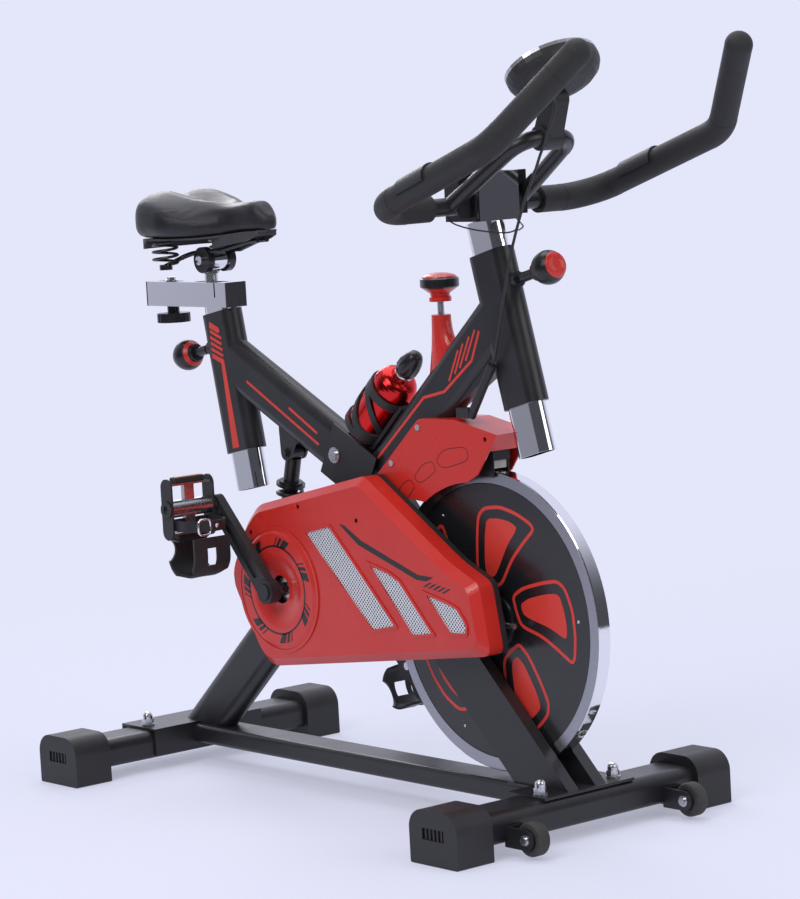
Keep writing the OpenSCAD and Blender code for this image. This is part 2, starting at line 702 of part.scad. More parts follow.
// Pulley with grooves round its rim, drawn as a revolved profile about z
module ribbed_pulley(r, w, bore) {
  ribs = 6;
  step = w / ribs;
  rotate_extrude($fn = 96) difference() {
    translate([bore / 2, -w / 2 - 2]) square([r - bore / 2, w + 4]);
    for (k = [0:ribs - 1]) translate([r, (k + 0.5) * step - w / 2])
      polygon([[1, -step / 2], [-1.4, 0], [1, step / 2]]);
    if (r > 2 * bore) for (face = [-1, 1]) translate([bore / 2 + 12, face * (w / 2 + 2) - w / 3])
      square([r - bore / 2 - 22, w / 1.5]);
  }
}
module drive_pulley() color([0.2, 0.2, 0.21]) difference() {
  at(bb, belt_y) rotate([90, 0, 0]) ribbed_pulley(big_r, belt_w, axle_d);
  for (k = [0:4])
    cross_rod(bb + 0.55 * big_r * heading(72 * k), 0.36 * big_r, belt_y - belt_w, belt_y + belt_w);
}
// Belt line at a distance from both pulleys; its straight runs lie just inside the two circles
module belt_line(by) {
  aim = atan2(wheel[1] - bb[1], wheel[0] - bb[0]);
  swing = acos((big_r - small_r) / norm(wheel - bb));
  translate(bb) circle(r = big_r + by);
  translate(wheel) circle(r = small_r + by);
  polygon([for (end = [[bb, big_r, 1], [bb, big_r, -1], [wheel, small_r, -1], [wheel, small_r, 1]])
    end[0] + (end[1] + by - 0.1) * heading(aim + end[2] * swing)]);
}
module drive_belt() color([0.05, 0.05, 0.05]) slab(belt_y - belt_w / 2, belt_y + belt_w / 2) difference() {
  belt_line(slip + belt_t);
  belt_line(slip);
}
module crank_arm(aim, y0, out) {
  eye = bb + crank_len * aim;
  difference() {
    union() {
      slab(y0, y0 + out * crank_t) translate(bb) circle(r = 18);
      slab(y0 + out * 3, y0 + out * (crank_t - 1)) link(bb, 16, eye, 13);
    }
    at(bb) translate([-6.5, min(y0, y0 + out * crank_t) - 1, -6.5]) cube([13, crank_t + 2, 13]);
    cross_rod(eye, spindle_d + 2 * running, y0 - crank_t * 2, y0 + crank_t * 2);
    // Long hollow that lightens the outer face of the arm
    slab(y0 + out * (crank_t - 4), y0 + out * (crank_t + 1)) link(bb + 34 * aim, 6, eye - 26 * aim, 4.5);
  }
}
module crank_arms() color([0.06, 0.06, 0.07]) {
  crank_arm(pedal_right_dir, crank_right_y, -1);
  crank_arm(-pedal_right_dir, crank_left_y, 1);
  for (end = [[crank_right_y - crank_t, -1], [crank_left_y + crank_t, 1]])
    cross_rod(bb, 24, end[0], end[0] + end[1] * 3);
}
module pedal_axles() color([0.7, 0.71, 0.73])
  for (one = [[pedal_right, crank_right_y, -1], [pedal_left, crank_left_y, 1]]) {
  cross_rod(one[0], spindle_d, one[1] + one[2] * 3, one[1] + one[2] * (crank_t + 4 + pedal_w - 5));
  cross_rod(one[0], 17, one[1] + one[2] * (crank_t - 1), one[1] + one[2] * (crank_t + 3.5));
}
module flywheel() color([0.8, 0.81, 0.83]) at(wheel) rotate([90, 0, 0]) rotate_extrude($fn = 160) {
  inner = wheel_r - 2 * rim_band;
  polygon([[inner, -rim_w / 2 + 2], [wheel_r - rim_band, -rim_w / 2 + 2],
    [wheel_r - rim_band + 1, -rim_w / 2], [wheel_r - 1.5, -rim_w / 2], [wheel_r, -rim_w / 2 + 1.5],
    [wheel_r, rim_w / 2 - 1.5], [wheel_r - 1.5, rim_w / 2],
    [wheel_r - rim_band + 1, rim_w / 2], [wheel_r - rim_band, rim_w / 2 - 2], [inner, rim_w / 2 - 2],
    [inner - 10, 3], [40, 3], [40, rim_w / 2 + 2], [axle_d / 2, rim_w / 2 + 2], [axle_d / 2, -rim_w / 2 - 2],
    [40, -rim_w / 2 - 2], [40, -3], [inner - 10, -3]]);
}
module flywheel_discs() color([0.07, 0.07, 0.08]) for (side = [-1, 1])
  slab(side * (rim_w / 2 - 2), side * (rim_w / 2 - 0.5)) translate(wheel) difference() {
    circle(r = wheel_r - rim_band, $fn = 160);
    circle(r = 40 + running);
  }
module flywheel_axle() color([0.55, 0.55, 0.57]) {
  cross_rod(wheel, axle_d, belt_y - belt_w / 2 - 6, leg_out + 6);
  at(wheel, belt_y) rotate([90, 0, 0]) ribbed_pulley(small_r, belt_w, axle_d);
  cross_rod(wheel, axle_d + 8, leg_out + slip, leg_out + 5);
}

// Pedals, drawn flat with the toe towards +x and then turned on their axles

module pedal_body() {
  difference() {
    union() {
      rotate([90, 0, 0]) cylinder(d = 26, h = pedal_w, center = true);
      // Side plates of the cage and its two cross bars
      for (side = [-1, 1]) translate([0, side * (pedal_w / 2 - 3.5), 0]) slab(-1.5, 1.5)
        oval(pedal_len, pedal_h);
      for (end = [-1, 1]) translate([end * (pedal_len / 2 - 9), 0, 0]) {
        translate([-1.5, -pedal_w / 2 + 3, -pedal_h / 2 + 3]) cube([3, pedal_w - 6, 7]);
        translate([-1.5, -pedal_w / 2 + 3, pedal_h / 2 - 10]) cube([3, pedal_w - 6, 7]);
      }
      translate([-pedal_len / 2 + 8, -9, -4]) cube([pedal_len - 16, 18, 8]);
    }
    rotate([90, 0, 0]) cylinder(d = spindle_d + 2 * running, h = 2 * pedal_w, center = true);
  }
  // Reflectors in the middle of the front and rear faces
  for (end = [-1, 1]) translate([end * (pedal_len / 2 - 4), 0, 0]) cube([7, 52, 13], center = true);
}
clip_w = 66;
clip_len = 104;
basket_r = 34;
basket_t = 4;
module toe_clip() {
  front = pedal_len / 2;
  middle = [clip_len - basket_r, 20];
  difference() {
    // Basket: a strip bent round the toe, seen from the side
    slab(-clip_w / 2, clip_w / 2) {
      translate(middle) difference() {
        circle(r = basket_r);
        circle(r = basket_r - basket_t);
        translate([-2 * basket_r, -2 * basket_r]) square([2 * basket_r, 4 * basket_r]);
      }
      translate([front + slip, middle[1] - basket_r]) square([middle[0] - front - slip + 1, basket_t]);
      translate([front + slip, middle[1] - basket_r]) square([basket_t, 20]);
      translate([front - 4, middle[1] + basket_r - basket_t]) square([middle[0] - front + 5, basket_t]);
    }
    // Cut-outs that leave a narrow waist, a wide toe and a slot
    for (side = [-1, 1]) {
      translate([front + 16, side * (clip_w / 2 + 4), -40]) cylinder(r = 17, h = 60);
      translate([clip_len, side * (clip_w / 2 + 8), 24]) rotate([0, 90, 0])
        cylinder(r = 22, h = 60, center = true);
    }
    translate([clip_len - 46, -9, 30]) cube([26, 18, 40]);
    translate([clip_len - 20, -12, 8]) cube([40, 24, 22]);
  }
  // Strap that goes round the foot and under the middle of the cage
  translate([16, 0, -4 - 2.5 - running]) rotate([90, 0, 90]) linear_extrude(16) difference() {
    arch(clip_w + 5, 70, 32, 5);
    translate([0, 2.5]) arch(clip_w, 65, 30, 3);
  }
}
module pedal_right() color([0.6, 0.6, 0.62]) at(pedal_right, pedal_right_y)
  rotate([0, pedal_right_turn, 0]) pedal_body();
module pedal_left() color([0.6, 0.6, 0.62]) at(pedal_left, pedal_left_y)
  rotate([0, pedal_left_turn, 0]) pedal_body();
module toe_clip_right() color([0.05, 0.05, 0.05]) at(pedal_right, pedal_right_y)
  rotate([0, pedal_right_turn, 0]) toe_clip();
module toe_clip_left() color([0.05, 0.05, 0.05]) at(pedal_left, pedal_left_y)
  rotate([0, pedal_left_turn, 0]) toe_clip();

// Seat stay and shock absorber

module seat_stay() color([0.09, 0.09, 0.1]) {
  difference() {
    union() {
      difference() {
        run(pivot, 180 - stay_angle, stay_len) oval(oval_d, oval_w);
        run(pivot + 30 * heading(180 - stay_angle), 180 - stay_angle, stay_len)
          oval(oval_d - 2 * wall, oval_w - 2 * wall);
      }
      slab(-oval_w / 2, oval_w / 2) translate(pivot) circle(r = 24);
      cross_rod(pivot, 30, -yoke_in + slip, yoke_in - slip);
      run(seat_top - (seat_above + seat_below) * seat_up, 90 + seat_tilt, seat_above + seat_below)
        oval(oval_d, oval_w);
      for (side = [-1, 1]) slab(side * 12, side * 16) link(shock_up, 12, shock_up + [8, 36], 22);
      run(seat_top - pin_drop * seat_up + (tube_top - 4) * seat_back, 180 + seat_tilt, 9) circle(d = 22);
    }
    post_space(seat_top, seat_up, 90 + seat_tilt, seat_above + seat_below);
    cross_rod(pivot, pivot_bolt_d + 2 * running, -oval_d, oval_d);
    cross_rod(shock_up, shock_bolt_d, -oval_d, oval_d);
    run(seat_top - pin_drop * seat_up, 180 + seat_tilt, oval_d) circle(d = pin_d + 2 * running);
  }
  hex_bolt(shock_up, shock_bolt_d, -16, 16);
}
module shock_stack(parts) at(shock_low) rotate([0, 90 - shock_angle, 0]) rotate_extrude() for (p = parts)
  translate([p[0], p[2]]) square([p[1] - p[0], p[3] - p[2]]);
module eye(p, d) slab(-11.5, 11.5) translate(p) difference() {
  circle(d = 22);
  circle(d = d);
}
spring_low = 22;
spring_high = shock_len - 54;
module shock_rod() color([0.3, 0.3, 0.32]) {
  difference() {
    union() {
      eye(shock_low, shock_bolt_d + 2 * running);
      shock_stack([[0, 8, 9, 18], [0, ring_d / 2, 16, spring_low], [0, shock_rod_d / 2, spring_low, 100]]);
    }
    cross_rod(shock_low, shock_bolt_d + 2 * running, -20, 20);
  }
}
module shock_cylinder() color([0.75, 0.75, 0.77]) {
  difference() {
    union() {
      eye(shock_up, shock_bolt_d + 2 * slip);
      shock_stack([[0, shock_body_d / 2, shock_len - 95, shock_len - 9],
        [0, ring_d / 2, spring_high, spring_high + 5],
        [0, ring_d / 2 - 4, spring_high + 5, spring_high + 8]]);
    }
    cross_rod(shock_up, shock_bolt_d + 2 * slip, -20, 20);
    shock_stack([[0, shock_rod_d / 2 + running, shock_len - 100, shock_len - 18]]);
  }
}
module shock_spring() color([0.06, 0.06, 0.06]) at(shock_low + (spring_low + slip) * shock_dir)
  rotate([0, 90 - shock_angle, 0]) coil(coil_d / 2, coil_wire, spring_high - spring_low - 2 * slip, 4);

// Seat post with its rail, and the saddle

module post_bore(d, p, a, from, to) for (k = [from:to])
  run(p + k * pitch * heading(a - 90), a, d) circle(d = pin_d + 2 * slip);
module seat_post() color([0.78, 0.79, 0.82]) difference() {
  union() {
    difference() {
      run(seat_top - (seat_above + seat_post_low) * seat_up, 90 + seat_tilt, seat_above + seat_post_low + 20)
        oval(post_d, post_w);
      translate([-overall_len, -post_d, rail_z]) cube([2 * overall_len, 2 * post_d, post_d]);
    }
    translate([rail_front - rail_len, -rail_h / 2, rail_z - rail_h / 2]) cube([rail_len, rail_h, rail_h]);
  }
  translate([rail_front - rail_len - 1, rail_wall - rail_h / 2, rail_z + rail_wall - rail_h / 2])
    cube([rail_len + 2, rail_h - 2 * rail_wall, rail_h - 2 * rail_wall]);
  difference() {
    run(seat_top - (seat_above + seat_post_low + 1) * seat_up, 90 + seat_tilt,
      seat_above + seat_post_low + 20)
      oval(post_d - 2 * wall, post_w - 2 * wall);
    translate([-overall_len, -post_d, rail_z - rail_h / 2]) cube([2 * overall_len, 2 * post_d, post_d]);
  }
  // Slots for the saddle stem and for the lock bolt, and a saw cut in each side wall
  translate([stem_x, 0, rail_z]) linear_extrude(rail_h) oval(stem_d + 2 * slide + 2, stem_d + 2);
  translate([lock_x, 0, rail_z - rail_h]) linear_extrude(2 * rail_h)
    oval(lock_d + 2 * slide + 2, lock_d + 2);
  translate([rail_front - 29, -rail_h, rail_z - 4]) cube([3, 2 * rail_h, rail_h]);
  post_bore(post_d, seat_top - pin_drop * seat_up, 180 + seat_tilt, -seat_holes, 0);
}
module rail_plugs() color([0.05, 0.05, 0.05]) for (end = [-1, 1])
  translate([rail_mid + end * rail_len / 2, 0, rail_z]) rotate([0, 90 * end, 0]) {
    linear_extrude(3) square([rail_h, rail_h], center = true);
    translate([0, 0, -5]) linear_extrude(5) square(rail_h - 2 * rail_wall - running, center = true);
  }
bar_in = rail_h - 2 * rail_wall - 2 * slip;
module seat_carriage() color([0.7, 0.71, 0.73]) {
  difference() {
    translate([lock_x - 8, -bar_in / 2, rail_z - bar_in / 2]) cube([stem_x - lock_x + 22, bar_in, bar_in]);
    translate([lock_x, 0, rail_z - rail_h]) cylinder(d = lock_d, h = 2 * rail_h);
  }
  translate([stem_x, 0, rail_z]) cylinder(d = stem_d, h = clamp[1] - rail_z - 10);
  translate([lock_x, 0, rail_z - rail_h / 2 - 22]) cylinder(d = lock_d, h = rail_h + 22.5);
  translate([lock_x, 0, rail_z + rail_h / 2 + slip]) cylinder(d = 20, h = 1.5);
  translate([lock_x, 0, rail_z + rail_h / 2 + slip + 1]) cylinder(d = 14, h = 5, $fn = 6);
}
module slider_knob() color([0.06, 0.06, 0.06])
  translate([lock_x, 0, rail_z - rail_h / 2 - slip]) difference() {
  union() {
    translate([0, 0, -12]) cylinder(d = 19, h = 12);
    translate([0, 0, -26]) cylinder(d = 52, h = 14.5);
  }
  translate([0, 0, -30]) cylinder(d = lock_d + 2 * running, h = 40);
  for (k = [0:17]) rotate(20 * k) translate([27.5, 0, -30]) cylinder(d = 6, h = 17.5);
}
// Clamp head on the stem, with the cross bolt that the saddle tilts on
tilt_bolt_d = 8;
ear_in = 15;
ear_out = 26;
wire_d = 7;
wire_up = 12;
module saddle_clamp() color([0.05, 0.05, 0.05]) {
  difference() {
    union() {
      cross_rod(clamp, 32, -ear_in + slip, ear_in - slip);
      translate([stem_x, 0, clamp[1] - 22]) cylinder(d = stem_d + 7, h = 26);
    }
    translate([stem_x, 0, clamp[1] - 30]) cylinder(d = stem_d + 2 * running, h = 20 + running);
  }
  cross_rod(clamp, tilt_bolt_d, -ear_out - 5, ear_out + 5);
  for (side = [-1, 1]) cross_rod(clamp, 15, side * (ear_out + slip), side * (ear_out + 6));
}
module saddle_springs() color([0.05, 0.05, 0.05]) for (side = [-1, 1]) {
  middle = (ear_in + ear_out) / 2;
  translate([spring_at[0], side * spring_at[1], clamp[1] - 6])
    coil(19, 4.4, saddle_z - 8 - clamp[1] + 5.7, 3);
  bent_tube([[spring_at[0] - 4, side * spring_at[1], clamp[1] - 8],
    [clamp[0] - 34, side * middle, clamp[1] + wire_up - 2],
    [clamp[0] + 40, side * middle, clamp[1] + wire_up + 2], [clamp[0] + 100, side * 10, saddle_z - 13],
    [clamp[0] + 122, side * 9, saddle_z - 8 - wire_d / 2 - slip]], [30, 30, 10], wire_d);
  translate([spring_at[0], side * spring_at[1], clamp[1] - 13]) cylinder(d = 20, h = 8);
  // Ear that grips the wire and turns on the cross bolt
  difference() {
    cross_rod(clamp, 40, side * ear_in, side * ear_out);
    cross_rod(clamp, tilt_bolt_d + 2 * running, -oval_d, oval_d);
  }
}
// Saddle outline: t runs from the nose to the tail
function ease(a, b, t) = let (u = min(max((t - a) / (b - a), 0), 1)) u * u * (3 - 2 * u);
function saddle_half(t) = (27 + (saddle_w / 2 - 27) * ease(0.22, 0.74, t))
  * pow(1 - pow(abs(2 * t - 1), 7), 0.5);
function saddle_top(t) = 44 + 20 * ease(0.42, 0.8, t) + 6 * ease(0.4, 0.12, t)
  - 22 * ease(0.12, 0, t) - 14 * ease(0.9, 1, t);
function saddle_low(t) = 10 * ease(0.12, 0, t);
saddle_steps = 20;
saddle_turns = 20;
function saddle_ring(t, scale_w, low, high) = [
  for (k = [0:saddle_turns - 1])
    let (a = -360 * k / saddle_turns, c = cos(a), s = sin(a), w = max(saddle_half(t) * scale_w, 3))
      [saddle_nose - saddle_len * t, sign(c) * pow(abs(c), 0.7) * w,
        (low + high) / 2 + sign(s) * pow(abs(s), 0.8) * (high - low) / 2]];
module saddle_cover() color([0.07, 0.07, 0.08]) skin([for (i = [0:saddle_steps])
  let (t = 0.004 + 0.992 * i / saddle_steps)
    saddle_ring(t, 1, saddle_z + slip + saddle_low(t), saddle_z + max(saddle_top(t), saddle_low(t) + 8))]);
module saddle_base() color([0.05, 0.05, 0.05]) difference() {
  translate([0, 0, saddle_z - 8]) linear_extrude(8) polygon(concat(
    [for (i = [1:23]) [saddle_nose - saddle_len * i / 24, 0.9 * saddle_half(i / 24)]],
    [for (i = [23:-1:1]) [saddle_nose - saddle_len * i / 24, -0.9 * saddle_half(i / 24)]]));
  translate([clamp[0], 0, saddle_z - 20]) linear_extrude(17) oval(70, 26);
}

// Ball-headed pop pin, drawn along z from the tube's axis outwards
module pop_pin() color([0.07, 0.07, 0.07]) {
  first = post_d / 2 + slip;
  collar = tube_top + 5 + pin_throw + slip;
  translate([0, 0, first]) cylinder(d = pin_d, h = collar - first + 1);
  translate([0, 0, collar]) cylinder(d = 15, h = ball_at - collar - 16);
  translate([0, 0, ball_at - knob_ball / 2 - 1]) cylinder(d = 26, h = 8);
  translate([0, 0, ball_at]) rotate_extrude() intersection() {
    circle(d = knob_ball);
    translate([0, -knob_ball / 2 + 4]) square([knob_ball / 2, knob_ball - 10]);
  }
}
module seat_pin() at(seat_top - pin_drop * seat_up) rotate([0, -90 - seat_tilt, 0]) pop_pin();
module bar_pin() at(head_top - pin_drop * head_up) rotate([0, 90 - head_tilt, 0]) pop_pin();

// Handlebar and console

module handlebar_post() color([0.78, 0.79, 0.82]) {
  difference() {
    run(head_bottom - bar_post_low * head_up, 90 + head_tilt, bar_post_len) oval(post_d, post_w);
    run(head_bottom - (bar_post_low + 1) * head_up, 90 + head_tilt, bar_post_len - 4)
      oval(post_d - 2 * wall, post_w - 2 * wall);
    translate([-overall_len, -post_d, post_head[1]]) cube([2 * overall_len, 2 * post_d, post_d]);
    post_bore(post_d, head_top - pin_drop * head_up, head_tilt, -bar_holes_up, bar_holes_down);
  }
  // Bright bracket that the cross bar sits in: base plate and front plate
  translate([bar_x - block_d / 2, -block_w / 2, post_head[1] - eps]) cube([block_d, block_w, 4]);
  translate([bar_x + block_d / 2 - 4, -block_w / 2, post_head[1]]) cube([4, block_w, block_h]);
}
function flip(p) = [p[0], -p[1], p[2]];
module handlebar() color([0.07, 0.07, 0.08]) {
  bent_tube([tip, bend, corner, flip(corner), flip(bend), flip(tip)], [bend_r, corner_r, corner_r, bend_r],
    bar_d, bar_d - 4);
  bent_tube([loop_foot, loop_front, flip(loop_front), flip(loop_foot)], [loop_r, loop_r], loop_d);
  for (side = [-1, 1]) {
    // Cheeks beside the bright bracket and the plates that tie them to the loop
    slab(side * (block_w / 2 + running), side * (block_w / 2 + 4))
      translate([bar_x - block_d / 2, post_head[1]])
      square([block_d - 4 - running, block_h]);
    translate([bar_x + 18, side * (block_w / 2 + 14) - 12, post_head[1] + 6]) cube([4, 24, block_h - 6]);
  }
}
tip_dir = unit(tip - bend);
module grip() {
  bore = bar_d + 2 * (lip + running) + 2 * lip;
  bent_tube([[corner[0], grip_start, corner[2]], corner, bend, tip - end_cap_len * tip_dir],
    [corner_r, bend_r],
    grip_d, bore);
  // Glossy cap over the end of the bar
  difference() {
    union() {
      stick(tip - (end_cap_len - slip) * tip_dir, tip, grip_d);
      translate(tip) sphere(d = grip_d + 2 * lip);
    }
    stick(tip - (end_cap_len + 1) * tip_dir, tip + running * tip_dir, bore);
  }
}
module grips() color([0.06, 0.06, 0.06]) {
  grip();
  mirror([0, 1, 0]) grip();
}
module pulse_sensors() color([0.05, 0.05, 0.05]) for (side = [-1, 1]) {
  from = [corner[0], side * corner[1], corner[2]];
  to = [bend[0], side * bend[1], bend[2]];
  along = unit(to - from);
  low = from + 0.3 * (to - from);
  difference() {
    intersection() {
      stick(low, low + 66 * along, grip_d + 6);
      translate(low + 33 * along + [0, 0, 27]) rotate([0, -atan2(along[2], along[0]), 0])
        cube([80, 60, 54], center = true);
    }
    stick(low - 10 * along, low + 90 * along, grip_d + 2 * running);
  }
}
module on_console() at(console) rotate([0, -console_tilt, 0]) children();
function ellipse(a, b, count = 32) = [for (k = [0:count - 1])
  [a * cos(-360 * k / count), b * sin(-360 * k / count)]];
function console_ring(share, z) =
  [for (p = ellipse(share * console_h / 2, share * console_w / 2)) [p[0], p[1], z]];
module console_back() color([0.06, 0.06, 0.07]) difference() {
  union() {
    on_console() skin([console_ring(1, 0), console_ring(1, -8), console_ring(0.97, -14),
      console_ring(0.9, -21),
      console_ring(0.76, -28), console_ring(0.5, -console_deep + 1), console_ring(0.2, -console_deep)]);
    // Neck and clamp on the front of the loop
    slab(-13, 13) link([loop_front[0], loop_front[2]], loop_d / 2 + 5, [console[0] + 4, console[1] - 44], 14);
    slab(-17, 17) translate([loop_front[0], loop_front[2]]) circle(r = loop_d / 2 + 6);
  }
  cross_rod([loop_front[0], loop_front[2]], loop_d + 2 * running, -30, 30);
}
module console_face() color([0.7, 0.71, 0.73]) on_console() difference() {
  linear_extrude(bezel_t) polygon(ellipse(console_h / 2, console_w / 2));
  translate([0, 0, 1.5]) linear_extrude(bezel_t) polygon(ellipse(console_h / 2 - 8, console_w / 2 - 8));
}
module console_lens() color([0.04, 0.04, 0.05]) on_console() difference() {
  translate([0, 0, 1.5]) linear_extrude(2.5)
    polygon(ellipse(console_h / 2 - 8 - running, console_w / 2 - 8 - running));
  translate([button_x, 0, 0]) cylinder(d = button_d + 2 * running, h = 20);
}
module console_button() color([0.75, 0.12, 0.1]) on_console()
  translate([button_x, 0, 3.3]) cylinder(d = button_d, h = 3);

// Resistance knob, brake and bottle

module resistance_knob() color([0.78, 0.12, 0.1]) translate([rod_x, 0, knob_z]) difference() {
  rotate_extrude() polygon(concat([[0, 0], [16, 0], [16, 6], [14, 8], [14, 11], [24, 18], [knob_d / 2, 21],
    [knob_d / 2, 32], [knob_d / 2 - 2, 34]],
    [for (k = [0:6]) [(knob_d / 2 - 3) * cos(15 * k), 34 + 7 * sin(15 * k)]]));
  translate([0, 0, -1]) cylinder(d = rod_d + 2 * running, h = 22);
}
module tension_rod() color([0.6, 0.6, 0.62])
  translate([rod_x, 0, rod_low]) cylinder(d = rod_d, h = knob_z + 20.5 - rod_low);
shroud_top = 718;
shroud_steps = 8;
// Horn that leans over from a level ring at the top to the slope of the main tube
function shroud_ring(u) =
  let (low = main_at((rod_x - main_start[0]) / cos(main_angle) + 4, 0), flare = pow(u, 2.2),
    centre = [rod_x + 10 * flare, shroud_top * (1 - u) + (low[1] + 26) * u],
    a = 14 + 34 * flare, b = 14 + 2 * u)
      [for (k = [0:23]) [centre[0] + a * cos(-15 * k), b * sin(-15 * k),
        centre[1] + u * a * cos(-15 * k) * tan(main_angle)]];
module rod_shroud() color([0.72, 0.1, 0.12]) difference() {
  skin([for (i = [0:shroud_steps]) shroud_ring(i / shroud_steps)]);
  main_tube(0);
  translate([rod_x, 0, 0]) cylinder(d = rod_d + 1, h = 2 * head_top[1]);
}
shoe_low = wheel[1] + sqrt(pow(wheel_r + pad_gap + pad_t, 2) - pow(pad_len / 2 + 6, 2));
module brake_arm() color([0.05, 0.05, 0.05]) difference() {
  union() {
    cross_rod(brake_pivot, 18, -arm_w, arm_w);
    slab(-arm_half, arm_half) polygon([brake_pivot + [0, 7], brake_tail + [10, arm_half],
      brake_tail + [-8, arm_half], brake_tail - [8, arm_half], brake_tail - [-10, arm_half],
      brake_pivot - [0, 8]]);
    // Shoe that holds the felt against the rim, with a cheek on each side
    slab(-arm_w - 2, arm_w + 2) difference() {
      translate([pad_x - pad_len / 2 - 4, shoe_low - 8]) square([pad_len + 8, brake_pivot[1] - shoe_low]);
      translate(wheel) circle(r = wheel_r + pad_gap + pad_t);
    }
    for (side = [-1, 1]) slab(side * (rim_w / 2 + 2), side * (arm_w + 1))
      translate([pad_x - pad_len / 4, wheel[1] + wheel_r - 9]) square([pad_len * 0.75 + 3, 33]);
  }
  cross_rod(brake_pivot, brake_pin_d + 2 * running, -oval_d, oval_d);
}
module brake_pad() color([0.62, 0.62, 0.58]) slab(-rim_w / 2 - 1.5, rim_w / 2 + 1.5) intersection() {
  difference() {
    translate(wheel) circle(r = wheel_r + pad_gap + pad_t);
    translate(wheel) circle(r = wheel_r + pad_gap);
  }
  translate([pad_x - pad_len / 2, wheel[1]]) square([pad_len, 2 * wheel_r]);
}
// Drawn along z from the foot of the bottle up the main tube; x then points away from the tube
module on_tube(s, n) at(main_at(s, n)) rotate([0, 90 - main_angle, 0]) rotate([0, 0, 180]) children();
module bottle() color([0.7, 0.06, 0.06]) on_tube(bottle_s, bottle_n) rotate_extrude($fn = 64) polygon(concat(
  [[0, 0], [bottle_d / 2 - 5, 0], [bottle_d / 2 - 1.5, 1.5], [bottle_d / 2, 5], [bottle_d / 2, bottle_body]],
  [for (k = [1:8]) [13 + (bottle_d / 2 - 13) * cos(90 * k / 8), bottle_body + 24 * sin(90 * k / 8)]],
  [[12, bottle_body + 26], [12, bottle_body + 40], [0, bottle_body + 40]]));
module bottle_cap() color([0.05, 0.05, 0.05])
  on_tube(bottle_s, bottle_n) translate([0, 0, bottle_body + 27]) difference() {
  union() {
    cylinder(d = 34, h = 18);
    translate([0, 0, 17]) cylinder(d1 = 33, d2 = 22, h = 16);
    translate([0, 0, 32]) cylinder(d = 16, h = 14);
    for (k = [0:11]) rotate(30 * k) translate([16.6, 0, 0]) cylinder(d = 3, h = 16);
  }
  translate([0, 0, -1]) cylinder(d = 24 + 2 * running, h = 14 + slip);
}
cage_in = bottle_d + 2 * slip;
module cage_band(h) difference() {
  cylinder(d = cage_in + 2 * cage_t, h = h);
  translate([0, 0, -1]) cylinder(d = cage_in, h = h + 2);
}
module bottle_cage() color([0.05, 0.05, 0.05]) difference() {
  on_tube(bottle_s, bottle_n) {
    translate([0, 0, bottle_body - 18]) cage_band(14);
    translate([0, 0, 6]) cage_band(10);
    // Slanted straps from the upper band to the spine at the foot
    intersection() {
      translate([0, 0, 6]) cage_band(bottle_body - 14);
      for (side = [-1, 1]) translate([0, 0, bottle_body / 2]) rotate([side * 28, -32, 0])
        cube([2 * cage_in, 2 * cage_in, 9], center = true);
    }
    translate([-cage_in / 2 - 7, -10, 2]) cube([6.5, 20, bottle_body - 4]);
    translate([0, 0, -3.3]) cylinder(d = 36, h = 3);
    translate([-cage_in / 2 - 3, -10, -3.3]) cube([20, 20, 6]);
  }
  main_tube(0);
  on_tube(bottle_s, bottle_n) cylinder(d = bottle_d + 2 * slip, h = 2 * bottle_body);
}

// Sensor lead

module sensor_cable() color([0.04, 0.04, 0.04]) skin(sweep_rings(cable_route, cable_d, [0, 1, 0]));
sleeve_dir = unit(sleeve_top - sleeve_low);
module cable_sleeve() color([0.04, 0.04, 0.04]) {
  difference() {
    stick(sleeve_low, sleeve_top, sleeve_d);
    stick(sleeve_top - 10 * sleeve_dir, sleeve_top + 5 * sleeve_dir, cable_d + 2 * slip);
  }
  translate([sleeve_low[0] - 24, -oval_w / 2 - 15, sleeve_low[2] - 2]) cube([26, 15, 14]);
}

main_frame();
fork_legs();
base_beam();
rear_stabilizer();
front_stabilizer();
stabilizer_end_caps();
fasteners();
case_right();
case_left();
crank_dish();
mesh_inserts();
upper_cover_right();
upper_cover_left();
bearings();
rod_shroud();
bottle_cage();
shock_rod();
drive_belt();
cable_sleeve();
sensor_cable();
crank_axle();
drive_pulley();
crank_arms();
pedal_axles();
pedal_right();
toe_clip_right();
pedal_left();
toe_clip_left();
flywheel();
flywheel_discs();
flywheel_axle();
transport_wheel_right();
transport_wheel_left();
seat_stay();
shock_cylinder();
shock_spring();
seat_post();
rail_plugs();
seat_carriage();
slider_knob();
saddle_clamp();
saddle_springs();
saddle_base();
saddle_cover();
seat_pin();
handlebar_post();
handlebar();
grips();
pulse_sensors();
console_back();
console_face();
console_lens();
console_button();
bar_pin();
resistance_knob();
tension_rod();
brake_arm();
brake_pad();
bottle();
bottle_cap();
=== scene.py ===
"""Looks of an indoor spin bike: finishes, printed stripes, saddle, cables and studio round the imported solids.

Metres throughout, in the frame of the solids: +X forward, +Y to the rider's left, +Z up, floor at z = 0.
"""

import math

import bmesh
import bpy
import numpy as np
from mathutils import Matrix


